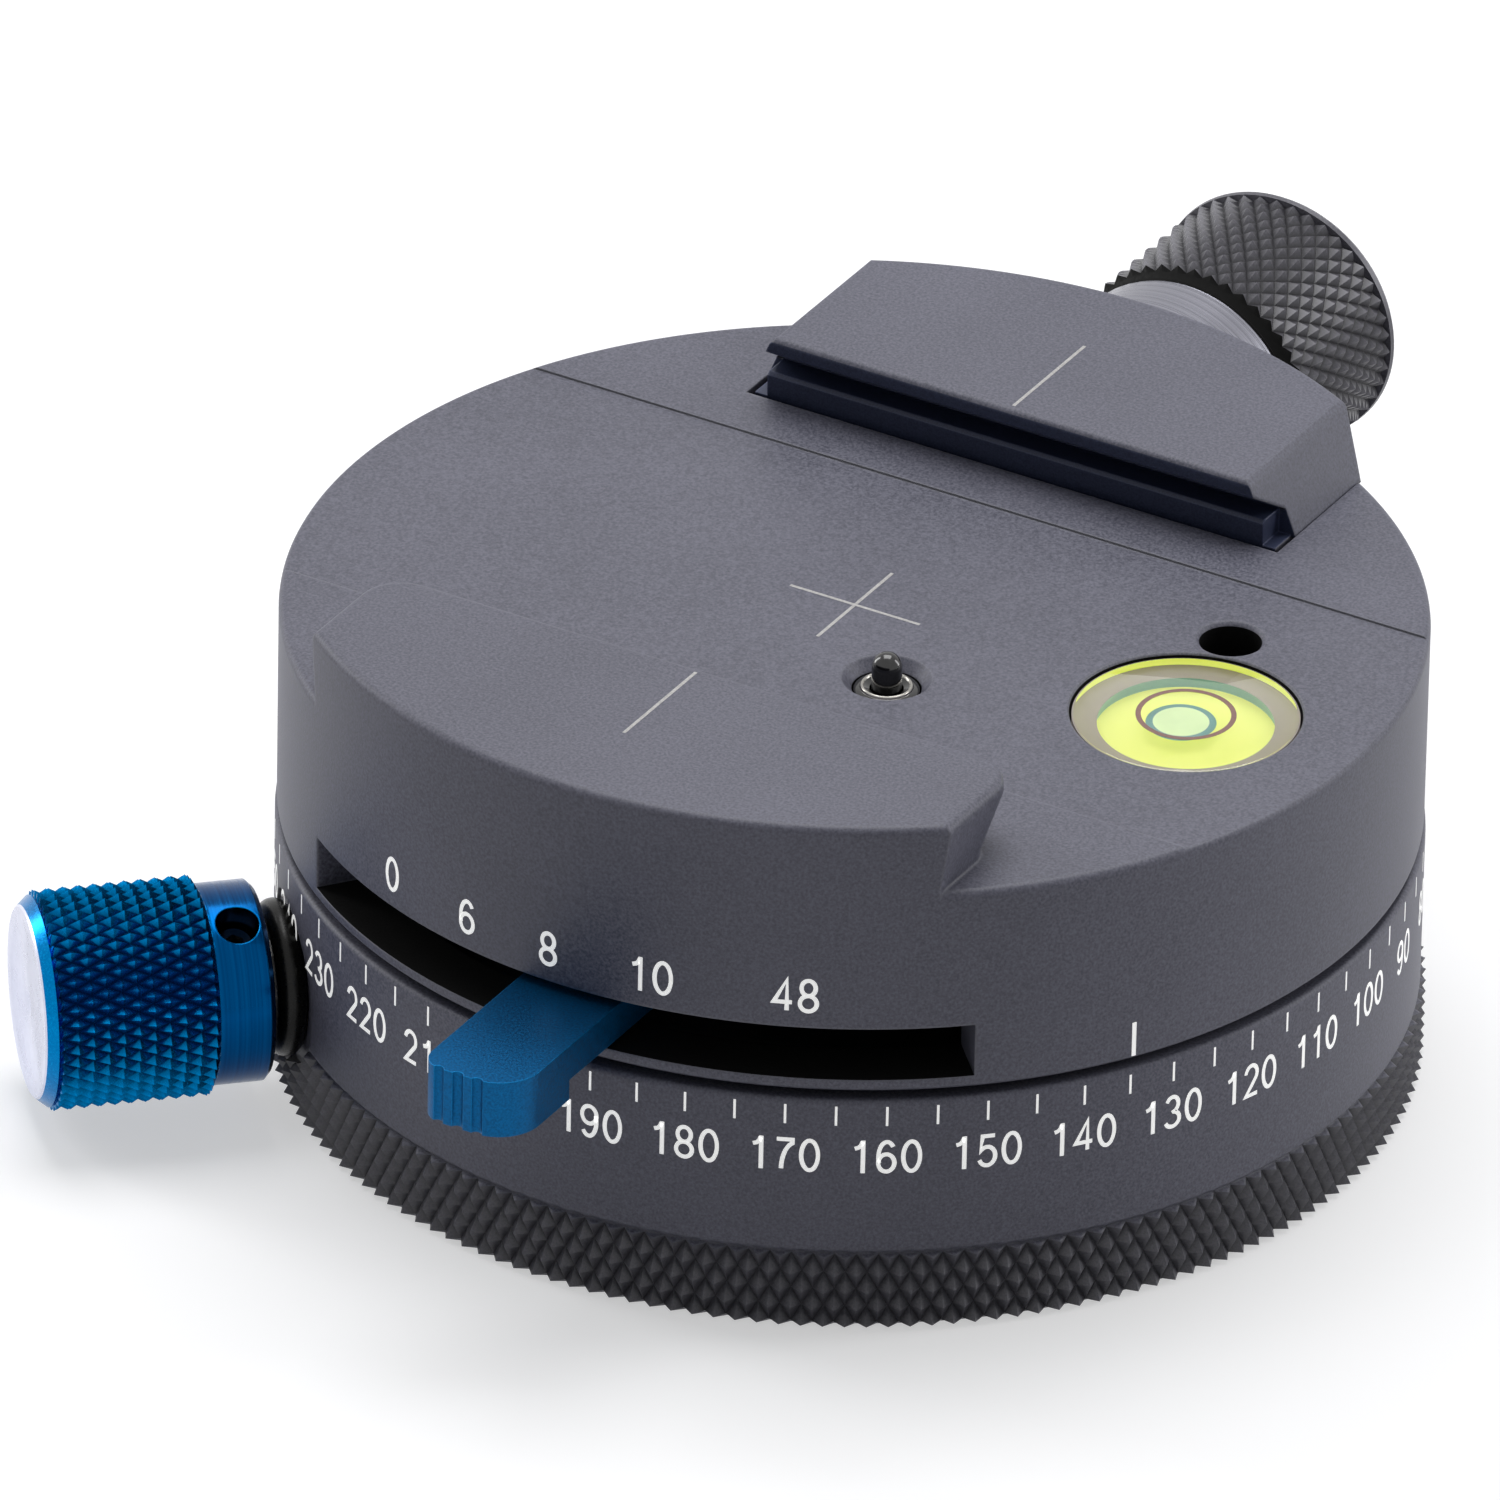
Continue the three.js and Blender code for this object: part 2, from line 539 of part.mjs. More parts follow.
// Housing: deck, hub, skirt with the selector's slot, jaw pocket, level pocket and pin bore
function makeHousing() {
  const { topRounding, floor } = rotor;
  const radius = rotorRadius;
  const jawCylinder = turned([
    [0, rotor.bottom], [radius, rotor.bottom], [radius, jaw.top - topRounding],
    [radius - topRounding, jaw.top], [0, jaw.top],
  ], facets.rim);
  const deck = turned([
    [0, rotor.bottom], [radius, rotor.bottom], [radius, floor - topRounding], [radius - topRounding, floor],
    [0, floor],
  ], facets.rim);
  const hubBottom = ring.webTop + bush.flangeThickness + runningGap;
  const hub = upright(rotor.hubRadius, hubBottom, rotor.deckBottom, facets.shaft);
  const body = join(deck, makeFixedJaw().intersect(jawCylinder), hub);

  const chamberRing = turnedRing([
    [rotor.chamberInnerRadius, ring.webTop], [chamberRadius, ring.webTop],
    [chamberRadius, rotor.deckBottom], [rotor.chamberInnerRadius, rotor.deckBottom],
  ], facets.inner);
  const chamberFront = block(
    [-radius, -radius, ring.webTop - overrun],
    [radius, rotor.chamberBack, rotor.deckBottom + overrun],
  );
  const chamber = chamberRing.intersect(chamberFront);
  const discClearance = upright(chamberRadius, rotor.bottom - overrun, rotor.bottom, facets.inner);
  const window = plan(
    sector(chamberRadius - overrun, radius + overrun, slot.firstAngle, slot.lastAngle),
    slot.bottom, slot.top, 24,
  );
  const shaftBore = upright(shaft.radius + runningGap, ring.webTop, shaft.top + runningGap, facets.inner);
  const pivotTop = pivotScrewTop() + runningGap;
  const pivotHole = pivotScrew.threadRadius + runningGap;
  const pivotBore = upright(pivotHole, rotor.bottom, pivotTop, facets.small, 0, -lever.pivotReach);

  const creases = [-1, 1].map((side) => block(
    [-radius, Math.min(side * rotor.creaseReach, side * (radius + overrun)), floor - rotor.creaseStep],
    [radius, Math.max(side * rotor.creaseReach, side * (radius + overrun)), floor + overrun],
  ));
  const jawOutline = fixedJawPlan(-jaw.lipReach, jaw.fixedHalfLength);
  const frontStrip = cut(creases[0], plan(jawOutline, floor - overrun, floor + 2 * overrun));

  const jawPocket = block(
    [-pocket.halfWidth, pocket.front, pocket.floor],
    [pocket.halfWidth, radius + overrun, floor + overrun],
  );
  const nutHole = clamp.spindleRadius + runningGap;
  const nutEnd = pocket.front + overrun;
  const nutBore = alongY(nutHole, clamp.nutBoreStart, nutEnd, facets.small, 0, clamp.axisHeight);
  const guideBores = [-1, 1].map((side) => alongY(
    guide.radius + runningGap, guide.start - runningGap, pocket.front + overrun, facets.small,
    side * guide.reach, clamp.axisHeight,
  ));
  const reliefStart = radius - relief.depth;
  const knobRelief = alongY(relief.radius, reliefStart, radius + overrun, facets.knob, 0, clamp.axisHeight);

  const levelPocket = upright(level.pocketRadius, levelFloor, floor + overrun, facets.knob, levelX, level.y);
  const pinBore = turned([
    [0, pin.boreFloor], [pin.boreRadius, pin.boreFloor], [pin.boreRadius, floor - pin.sinkDepth],
    [pin.sinkRadius, floor], [pin.sinkRadius, floor + overrun], [0, floor + overrun],
  ], facets.small, pin.x, pin.y);
  const hole = turned([
    [0, floor - blindHole.depth], [blindHole.radius, floor - blindHole.depth],
    [blindHole.radius, floor - blindHole.chamfer], [blindHole.radius + blindHole.chamfer, floor],
    [blindHole.radius + blindHole.chamfer, floor + overrun], [0, floor + overrun],
  ], facets.small, blindHoleX, blindHole.y);
  return cut(
    body, chamber, discClearance.subtract(hub), window, shaftBore, pivotBore, makeDetentPocket(),
    frontStrip, creases[1], jawPocket, nutBore, ...guideBores, knobRelief, levelPocket, pinBore, hole,
  );
}

// The arc that the detent boss sweeps in the deck
function makeDetentPocket() {
  const reach = detentBoss.radius + 2 * seatGap;
  const shape = new THREE.Shape();
  const first = (180 + leverStops.first - leverStops.margin) * degrees;
  const last = (180 + leverStops.last + leverStops.margin) * degrees;
  const [startX, startY] = [armLength * Math.cos(first), armLength * Math.sin(first)];
  const [endX, endY] = [armLength * Math.cos(last), armLength * Math.sin(last)];
  shape.absarc(0, 0, armLength + reach, first, last, false);
  shape.absarc(endX, endY, reach, last, last + Math.PI, false);
  shape.absarc(0, 0, armLength - reach, last, first, true);
  shape.absarc(startX, startY, reach, first + Math.PI, first + 2 * Math.PI, false);
  shape.closePath();
  const depth = detentBoss.top + seatGap - rotor.bottom;
  const form = new THREE.ExtrudeGeometry(shape, { depth, bevelEnabled: false, curveSegments: 10 });
  return toSolid(form.translate(0, -lever.pivotReach, rotor.bottom));
}

// Selector lever: an eye on the pivot, a finger out through the slot and a detent arm to its side
function leverFinger(outline) {
  const shape = new THREE.Shape();
  const half = lever.width / 2;
  const { start, end, round } = outline;
  shape.moveTo(-half, start);
  shape.lineTo(-half, end + round);
  if (round > 0) shape.absarc(round - half, end + round, round, Math.PI, 1.5 * Math.PI, false);
  if (round > 0) shape.absarc(half - round, end + round, round, 1.5 * Math.PI, 2 * Math.PI, false);
  if (round === 0) shape.lineTo(half, end);
  shape.lineTo(half, start);
  shape.closePath();
  return shape;
}

function makeLever() {
  const pivotY = -lever.pivotReach;
  const eye = upright(lever.eyeRadius, lever.bottom, lever.top, facets.shaft, 0, pivotY);
  const finger = plan(
    leverFinger({ start: pivotY, end: -leverTip, round: lever.cornerRadius }), lever.bottom, lever.top,
  );
  const grip = plan(
    leverFinger({ start: -leverStep, end: -leverTip, round: lever.cornerRadius }),
    lever.tipBottom, lever.bottom + runningGap,
  );
  const grooves = [-1, 0, 1].map((place) => upright(
    lever.grooveWidth / 2, lever.tipBottom - overrun, lever.top + overrun, facets.tiny,
    place * lever.groovePitch, -leverTip + lever.grooveWidth / 2 - lever.grooveDepth,
  ));
  const arm = block(
    [-armLength, pivotY - lever.armWidth / 2, lever.bottom],
    [0, pivotY + lever.armWidth / 2, lever.top],
  );
  const { radius, bottom, top, boreRadius } = detentBoss;
  const boss = upright(radius, bottom, top, facets.shaft, -armLength, pivotY);
  const plungerBore = upright(boreRadius, bottom - overrun, top + overrun, facets.small, -armLength, pivotY);
  const pivotHole = pivotScrew.shoulderRadius + runningGap;
  const pivotBore = upright(pivotHole, lever.bottom - overrun, lever.top + overrun, facets.small, 0, pivotY);
  return cut(join(eye, finger, grip, arm, boss), pivotBore, plungerBore, ...grooves);
}

function pivotScrewTop() {
  return rotor.deckBottom + pivotScrew.threadLength;
}

function makePivotScrew() {
  const headTop = lever.bottom - runningGap;
  const headBottom = headTop - pivotScrew.headThickness;
  const form = turned([
    [0, headBottom], [pivotScrew.headRadius, headBottom], [pivotScrew.headRadius, headTop],
    [pivotScrew.shoulderRadius, headTop], [pivotScrew.shoulderRadius, rotor.deckBottom],
    [pivotScrew.threadRadius, rotor.deckBottom], [pivotScrew.threadRadius, pivotScrewTop()],
    [0, pivotScrewTop()],
  ], facets.small, 0, -lever.pivotReach);
  return form;
}

function makePlunger() {
  const tipCentre = plunger.tip + plunger.ballRadius;
  const tipArc = [-90, -60, -30, 0].map((angle) => {
    const [out, up] = polar(plunger.ballRadius, angle);
    return [angle === -90 ? 0 : out, tipCentre + up];
  });
  return turned([
    ...tipArc, [plunger.ballRadius, plunger.shoulder], [plunger.radius, plunger.shoulder],
    [plunger.radius, plunger.top], [0, plunger.top],
  ], facets.small, -armLength, -lever.pivotReach);
}

// Brake shoe: a block with a face curved to the drum and a stem that the screw pushes
function makeShoe() {
  const inner = drumRadius + shoe.travelGap;
  const form = block(
    [drumRadius - overrun, -shoe.width / 2, lock.height - shoe.height / 2],
    [inner + shoe.thickness, shoe.width / 2, lock.height + shoe.height / 2],
  );
  const curved = cut(form, upright(inner, 0, ring.cavityRoof, facets.inner));
  const stemStart = inner + shoe.thickness - runningGap;
  const stem = toSolid(
    new THREE.CylinderGeometry(lock.screwRadius, lock.screwRadius, shoe.stem + runningGap, facets.small)
      .rotateZ(-Math.PI / 2).translate(stemStart + (shoe.stem + runningGap) / 2, 0, lock.height),
  );
  return join(curved, stem);
}

function lockScrewStart() {
  return drumRadius + shoe.travelGap + shoe.thickness + shoe.stem + seatGap;
}

function makeLockBush() {
  const wall = alongLock(lockBush.radius, lockBushStart + runningGap, lockBushEnd, facets.small);
  return cut(wall, alongLock(lock.screwRadius + seatGap, 0, ring.radius, facets.small));
}

// Pan lock knob about its own axis, z measured outwards from the face on the ring
function makeLockKnob() {
  const form = knurledDrum({
    below: [
      [lockKnob.collarRadius - runningGap, lockKnob.collarStart],
      [lockKnob.collarRadius, lockKnob.collarStart + runningGap],
      [lockKnob.collarRadius, lockKnob.knurlStart],
    ],
    above: [[lockKnob.faceRadius, lockKnob.end]],
    start: lockKnob.knurlStart + lockKnob.edge / 2, end: lockKnob.knurlEnd,
    crest: lockKnob.crestRadius, root: lockKnob.rootRadius,
    columns: lockKnob.columns, rows: lockKnob.rows,
  });
  const bore = upright(lock.screwRadius + runningGap, 0, lockKnob.boreEnd, facets.small);
  return cut(form, bore, setScrewHole(setScrew.radius + runningGap, lockKnob.collarRadius + overrun));
}

function setScrewHole(radius, end) {
  const rod = new THREE.CylinderGeometry(radius, radius, end, facets.small);
  rod.rotateX(Math.PI / 2).translate(0, 0, end / 2).rotateY(Math.PI / 2);
  return toSolid(rod.rotateZ(setScrew.turn * degrees).translate(0, 0, setScrew.reach));
}

function makeSetScrew() {
  const start = lock.screwRadius + seatGap;
  const end = lockKnob.collarRadius - setScrew.depth;
  const rod = new THREE.CylinderGeometry(setScrew.radius, setScrew.radius, end - start, facets.small);
  rod.rotateX(Math.PI / 2).translate(0, 0, (start + end) / 2).rotateY(Math.PI / 2);
  return toSolid(rod.rotateZ(setScrew.turn * degrees).translate(0, 0, setScrew.reach));
}

function makeLockSeal() {
  const { radius, width, wall, rounding: round } = lockSeal;
  const start = restGap;
  const end = start + width;
  return turnedRing([
    [radius - wall, start], [radius - round, start], [radius, start + round],
    [radius, end - round], [radius - round, end], [radius - wall, end],
  ], facets.knob);
}

// Moving jaw: a dovetail lip over a ledge, with a block below that slides in the pocket
function makeMovingJaw() {
  const [lipFoot] = dovetailSection(1);
  const ledgeTop = rotor.floor + movingJaw.ledgeHeight;
  const back = rotorRadius + overrun;
  const upper = rail([
    [jaw.lipReach, jaw.top], [jaw.lipReach, lipFoot[1]], [movingJaw.grooveBack, ledgeTop],
    [movingJaw.ledgeFront, ledgeTop], [movingJaw.ledgeFront, rotor.floor],
    [back, rotor.floor], [back, jaw.top],
  ], movingJaw.blockHalfWidth);
  const sideSlope = new THREE.Shape([
    new THREE.Vector2(-jaw.movingHalfFloor, rotor.floor), new THREE.Vector2(jaw.movingHalfFloor, rotor.floor),
    new THREE.Vector2(jaw.movingHalfTop, jaw.top), new THREE.Vector2(-jaw.movingHalfTop, jaw.top),
  ]);
  const slopeForm = new THREE.ExtrudeGeometry(sideSlope, { depth: back, bevelEnabled: false });
  const slopes = toSolid(slopeForm.rotateX(Math.PI / 2).translate(0, back, 0));
  const lower = block(
    [-movingJaw.blockHalfWidth, movingJaw.ledgeFront, movingJaw.blockBottom],
    [movingJaw.blockHalfWidth, back, rotor.floor],
  );
  const outside = turned([
    [0, 0], [rotorRadius, 0], [rotorRadius, jaw.top - rotor.topRounding],
    [rotorRadius - rotor.topRounding, jaw.top], [0, jaw.top],
  ], facets.rim);
  const form = join(upper.intersect(slopes), lower).intersect(outside);

  const ledgeCuts = [-1, 1].map((side) => {
    const [low, high] = [side * movingJaw.ledgeHalfLength, side * back].sort((a, b) => a - b);
    return block([low, 0, rotor.floor], [high, movingJaw.grooveBack, ledgeTop]);
  });
  const spindleBore = alongY(clamp.spindleRadius + runningGap, 0, back, facets.small, 0, clamp.axisHeight);
  const guideBores = [-1, 1].map((side) => alongY(
    guide.radius + runningGap, 0, guideEnd + overrun, facets.small, side * guide.reach, clamp.axisHeight,
  ));
  const springPockets = [-1, 1].map((side) => alongY(
    jawSpring.pocketRadius, 0, movingJaw.ledgeFront + jawSpring.pocketDepth, facets.small,
    side * guide.reach, clamp.axisHeight,
  ));
  const spotFace = alongY(movingJaw.spotRadius, jawFace, back, facets.knob, 0, clamp.axisHeight);
  return cut(form, ...ledgeCuts, spindleBore, ...guideBores, ...springPockets, spotFace);
}

// Clamp knob about its own axis, z measured outwards from the moving jaw's seat
function makeClampKnob() {
  const form = knurledDrum({
    below: [
      [clampKnob.collarRadius - runningGap, clampKnob.collarStart],
      [clampKnob.collarRadius, clampKnob.collarStart + runningGap],
      [clampKnob.collarRadius, clampKnob.coneStart],
    ],
    above: [[clampKnob.faceRadius, clampKnob.end]],
    start: clampKnob.knurlStart, end: clampKnob.knurlEnd,
    crest: clampKnob.crestRadius, root: clampKnob.rootRadius,
    columns: clampKnob.columns, rows: clampKnob.rows,
  });
  return cut(form, upright(clamp.spindleRadius + runningGap, 0, clampKnob.boreEnd, facets.small));
}

function makeWasher() {
  const bore = clamp.spindleRadius + runningGap;
  const top = runningGap + washer.thickness;
  return turnedRing([
    [bore, runningGap], [washer.radius, runningGap], [washer.radius, top], [bore, top],
  ], facets.shaft);
}

// Bubble level: a clear cap over the liquid, a bubble under its roof and the ring round it
function makeLevelCap() {
  const { y, bodyRadius, bodyTop, bevel } = level;
  const form = turned([
    [0, levelFloor], [bodyRadius, levelFloor], [bodyRadius, bodyTop - bevel], [bodyRadius - bevel, bodyTop],
    [0, bodyTop],
  ], facets.knob, levelX, y);
  const cavityTop = bodyTop - level.roof;
  const cavity = upright(level.cavityRadius, levelFloor - overrun, cavityTop, facets.shaft, levelX, y);
  return cut(form, cavity);
}

const liquidTop = level.bodyTop - level.roof - runningGap;

function makeLiquid() {
  const radius = level.cavityRadius - runningGap;
  const form = upright(radius, levelFloor, liquidTop, facets.shaft, levelX, level.y);
  return cut(form, bubbleForm(runningGap), levelRing(runningGap, runningGap));
}

function bubbleForm(extra) {
  const reach = level.bubbleRadius + extra;
  const foot = liquidTop - level.bubbleDepth - extra;
  return turned([
    [0, foot], [reach * level.bubbleFootShare, foot + extra], [reach, foot + (level.bubbleDepth + extra) / 2],
    [reach, liquidTop + extra], [0, liquidTop + extra],
  ], facets.small, levelX, level.y);
}

function levelRing(extra, over) {
  const foot = liquidTop - level.ringThickness - extra;
  const section = [
    [level.ringInner - extra, foot], [level.ringOuter + extra, foot],
    [level.ringOuter + extra, liquidTop + over], [level.ringInner - extra, liquidTop + over],
  ];
  return turnedRing(section, facets.shaft, levelX, level.y);
}

// Safety pin, sprung up through its bush so that it drops when a plate covers it
function makePin() {
  const { x, y, radius, collarRadius, collarTop, collarThickness } = pin;
  return turned([
    [0, collarTop - collarThickness], [collarRadius, collarTop - collarThickness], [collarRadius, collarTop],
    [radius, collarTop], [radius, pinTop - radius],
    [radius * Math.SQRT1_2, pinTop - radius * (1 - Math.SQRT1_2)],
    [0, pinTop],
  ], facets.small, x, y);
}

function makePinBush() {
  const bottom = pin.collarTop + runningGap;
  const shoulder = rotor.floor - pin.sinkDepth;
  return turnedRing([
    [pinBush.boreRadius, bottom], [pinBush.outerRadius, bottom], [pinBush.outerRadius, shoulder],
    [pinBush.rimRadius, shoulder + pinBush.rimHeight], [pinBush.boreRadius, pinBush.top],
  ], facets.small, pin.x, pin.y);
}

// Assembly: what stands still
add('bottom_plate', makePlate(), finishes.bodyAnodised);
add('thread_insert', makeInsert(), finishes.brass);
plateScrewPlaces.forEach(([x, y], i) => {
  add(`plate_screw_${i + 1}`, countersunk(plateScrew, x, y, 0), finishes.blackSteel);
});
add('scale_ring', makeRing(), finishes.bodyAnodised);
add('bearing_bush', makeBush(), finishes.brass);
add('glide_washer', makeGlide(), finishes.acetal);
add('index_disc', makeDisc(), finishes.steel);
discScrewPlaces.forEach(([x, y], i) => {
  add(`disc_screw_${i + 1}`, makeDiscScrew(x, y), finishes.blackSteel);
});
add('lock_bush', makeLockBush(), finishes.brass);

// Assembly: the pan lock, turned to its radial axis
const lockLine = new THREE.Group();
lockLine.rotation.set(0, 0, lock.angle * degrees);
head.add(lockLine);
addTo(lockLine, 'brake_shoe', makeShoe(), finishes.brass);
const lockAxis = new THREE.Group();
lockAxis.position.set(lockFace, 0, lock.height);
lockAxis.rotation.y = Math.PI / 2;
lockLine.add(lockAxis);
addTo(lockAxis, 'lock_seal', makeLockSeal(), finishes.rubber);
const lockScrewEnd = lockKnob.boreEnd - seatGap;
const lockScrew = upright(lock.screwRadius, lockScrewStart() - lockFace, lockScrewEnd, facets.small);
addTo(lockAxis, 'lock_screw', lockScrew, finishes.steel);
addTo(lockAxis, 'lock_knob', makeLockKnob(), finishes.blueAnodised);
addTo(lockAxis, 'lock_set_screw', makeSetScrew(), finishes.blackSteel);

// Assembly: the rotor and what is fixed to it
add('spindle', makeSpindle(), finishes.steel);
add('rotor_housing', makeHousing(), finishes.bodyAnodised);
add('lever_pivot_screw', makePivotScrew(), finishes.steel);
add('level_cap', makeLevelCap(), finishes.clearAcrylic);
add('level_liquid', makeLiquid(), finishes.levelLiquid);
add('level_bubble', bubbleForm(0), finishes.clearAcrylic);
add('level_ring', levelRing(0, 0), finishes.levelMark);
add('pin_bush', makePinBush(), finishes.steel);
const pinSpring = { ...pinWire, wireRadius: pinWire.radius, bottom: pin.boreFloor + runningGap };
const pinSpringTop = pin.collarTop - pin.collarThickness - runningGap;
const pinSpringMesh = add('pin_spring', springAlongZ({ ...pinSpring, top: pinSpringTop }), finishes.steel);
pinSpringMesh.position.set(pin.x, pin.y, 0);
add('safety_pin', makePin(), finishes.blackSteel);

// Assembly: the selector lever with its sprung plunger
add('selector_lever', makeLever(), finishes.blueAnodised);
add('detent_plunger', makePlunger(), finishes.steel);
const detentSpring = { ...detentWire, wireRadius: detentWire.radius, bottom: plunger.top + runningGap };
const detentSpringMesh = add(
  'detent_spring', springAlongZ({ ...detentSpring, top: plungerBoreTop - runningGap }), finishes.steel,
);
detentSpringMesh.position.set(-armLength, -lever.pivotReach, 0);
const capRadius = detentBoss.boreRadius - runningGap;
const capForm = upright(
  capRadius, plungerBoreTop, detentBoss.top, facets.small, -armLength, -lever.pivotReach,
);
add('detent_cap', capForm, finishes.brass);

// Assembly: the clamp, with knob and spindle on their axis along +Y
add('moving_jaw', makeMovingJaw(), finishes.bodyAnodised);
const clampAxis = new THREE.Group();
clampAxis.position.z = clamp.axisHeight;
clampAxis.rotation.x = -Math.PI / 2;
head.add(clampAxis);
const clampFace = new THREE.Group();
clampFace.position.z = jawFace;
clampAxis.add(clampFace);
addTo(clampFace, 'clamp_washer', makeWasher(), finishes.steel);
const spindleEnd = jawFace + clampKnob.boreEnd - seatGap;
const clampSpindle = upright(clamp.spindleRadius, clamp.spindleStart, spindleEnd, facets.small);
addTo(clampAxis, 'clamp_spindle', clampSpindle, finishes.steel);
addTo(clampFace, 'clamp_knob', makeClampKnob(), finishes.knobAnodised);
[-1, 1].forEach((side, i) => {
  const guidePin = upright(guide.radius, guide.start, guideEnd, facets.small);
  addTo(clampAxis, `guide_pin_${i + 1}`, guidePin, finishes.steel).position.x = side * guide.reach;
  const coil = springAlongZ({
    coilRadius: jawSpring.coilRadius, wireRadius: jawSpring.wireRadius, turns: jawSpring.turns,
    bottom: pocket.front + runningGap, top: movingJaw.ledgeFront + jawSpring.pocketDepth - runningGap,
  });
  addTo(clampAxis, `jaw_spring_${i + 1}`, coil, finishes.steel).position.x = side * guide.reach;
});

export default head;
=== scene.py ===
"""Panoramic tripod head: the finished look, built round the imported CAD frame.

Sizes are in millimetres and turned into metres by MM. Heights are measured from the foot of the
base, and lay() moves every piece into the frame of the CAD model, whose origin is at FLOOR_HEIGHT.
NEAR is how close counts as touching, and OVERRUN is how far a cutting tool stands out of what it
cuts.
"""

import logging
import math
from collections.abc import Callable, Iterator, Sequence
from contextlib import contextmanager
from dataclasses import dataclass, field
from enum import Enum

import bpy
from mathutils import Euler, Matrix, Vector

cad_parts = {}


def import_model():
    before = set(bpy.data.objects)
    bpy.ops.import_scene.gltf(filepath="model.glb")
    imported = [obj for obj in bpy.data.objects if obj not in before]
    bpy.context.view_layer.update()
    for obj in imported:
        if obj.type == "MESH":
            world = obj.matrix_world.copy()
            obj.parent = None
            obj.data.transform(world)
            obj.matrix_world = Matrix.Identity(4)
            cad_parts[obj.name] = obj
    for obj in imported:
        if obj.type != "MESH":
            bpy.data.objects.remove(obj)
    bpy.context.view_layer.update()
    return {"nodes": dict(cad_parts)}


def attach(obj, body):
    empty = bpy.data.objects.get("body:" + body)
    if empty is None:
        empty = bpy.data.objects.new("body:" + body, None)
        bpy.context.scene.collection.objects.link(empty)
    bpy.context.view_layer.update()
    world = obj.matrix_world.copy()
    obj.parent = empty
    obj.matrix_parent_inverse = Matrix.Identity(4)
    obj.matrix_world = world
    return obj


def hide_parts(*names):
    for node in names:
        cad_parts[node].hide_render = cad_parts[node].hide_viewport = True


LOG = logging.getLogger("tripod_head")
MM = 0.001
FLOOR_HEIGHT = 27.9
NEAR = 0.01
OVERRUN = 2.0
DRUM_SEGMENTS = 240

# places and sizes that more than one sub-assembly shares
LOCK_ANGLE = -136.9
LOCK_HEIGHT = 7.27
LEVEL_PLACE = (21.7, -0.55)
PIN_PLACE = (5.6, -6.1)
PIVOT_REACH = 13.6
CLAMP_HEIGHT = 23.43
GUIDE_OFFSET = 12.0
JAW_TOP = 32.17
JAW_LIP = 17.2
LIP_DEPTH = 0.95

# attribute with each knurl vertex's height, 0 in the valleys and 1 at the points, from which shade is painted into
# the valleys
VALLEY_SHADE_MASK = "crest"

Thing = bpy.types.Object
Material = bpy.types.Material
Tree = bpy.types.NodeTree
Node = bpy.types.Node
Socket = bpy.types.NodeSocket
Point = tuple[float, float]
Place = tuple[float, float, float]
Colour = tuple[float, float, float]
Outline = Sequence[Point]
FaceTest = Callable[[Vector, Vector], bool]


class Grain(Enum):
    """How a surface was made, which sets its fine relief."""

    BLASTED = "blasted"
    TURNED = "turned"
    MOULDED = "moulded"


class Turn(Enum):
    """Ways to turn a form that was made about Z or in the XY plane, as Euler angles."""

    UP = (0.0, 0.0, 0.0)
    ALONG_Y = (-math.pi / 2, 0.0, 0.0)
    UPRIGHT = (math.pi / 2, 0.0, 0.0)
    CROSSWISE = (math.pi / 2, 0.0, math.pi / 2)


# ---------------------------------------------------------------- hand tools


def deselect_all() -> None:
    """Leaves nothing selected, so that the next operator acts on its own piece only."""
    for item in bpy.context.selected_objects:
        item.select_set(False)


def activate(piece: Thing) -> None:
    """Makes one piece the only selected and active one.

    Args:
        piece: the object that the next operators act on.
    """
    deselect_all()
    piece.select_set(True)
    bpy.context.view_layer.objects.active = piece


def named(name: str) -> Thing:
    """Names the newly added object and its data, and gives it back.

    Args:
        name: its new name.

    Returns:
        The same object.
    """
    piece = bpy.context.view_layer.objects.active
    piece.name = name
    piece.data.name = name
    return piece


@contextmanager
def editing(piece: Thing) -> Iterator[bpy.types.Mesh]:
    """Opens a piece in edit mode for the length of a with block.

    Args:
        piece: the mesh object to edit.

    Yields:
        The piece's mesh data.
    """
    activate(piece)
    bpy.ops.object.mode_set(mode="EDIT")
    try:
        yield piece.data
    finally:
        bpy.ops.object.mode_set(mode="OBJECT")


def pick_vertices(piece: Thing, wanted: Callable[[Vector], bool]) -> None:
    """Selects the vertices of a piece whose place is wanted, and no others.

    Args:
        piece: the mesh object, in object mode.
        wanted: says of a place in metres whether its vertex is selected.
    """
    mesh = piece.data
    for polygon in mesh.polygons:
        polygon.select = False
    for edge in mesh.edges:
        edge.select = False
    for vertex in mesh.vertices:
        vertex.select = wanted(vertex.co)


def pick_edges(piece: Thing, wanted: Callable[[Vector, Vector], bool]) -> int:
    """Selects the edges of a piece whose two ends are wanted, and no others.

    Args:
        piece: the mesh object, in object mode.
        wanted: says of an edge's two ends, in millimetres, whether it is selected.

    Returns:
        How many edges were selected.
    """
    mesh = piece.data
    pick_vertices(piece, lambda place: False)
    count = 0
    for edge in mesh.edges:
        first, second = (mesh.vertices[i].co / MM for i in edge.vertices)
        if wanted(first, second):
            edge.select = True
            mesh.vertices[edge.vertices[0]].select = True
            mesh.vertices[edge.vertices[1]].select = True
            count += 1
    return count


def settle_place(piece: Thing) -> None:
    """Moves a piece's own place, turn and scale into its mesh."""
    activate(piece)
    bpy.ops.object.transform_apply(location=True, rotation=True, scale=True)


def shift(piece: Thing, place: Place, turn: Sequence[float] = Turn.UP.value) -> Thing:
    """Turns a piece about the origin and moves it, all in its mesh.

    Args:
        piece: the mesh object, made about the origin.
        place: how far it moves, in millimetres.
        turn: Euler angles in radians.

    Returns:
        The same piece.
    """
    piece.rotation_euler = Euler(turn)
    piece.location = Vector(place) * MM
    settle_place(piece)
    return piece


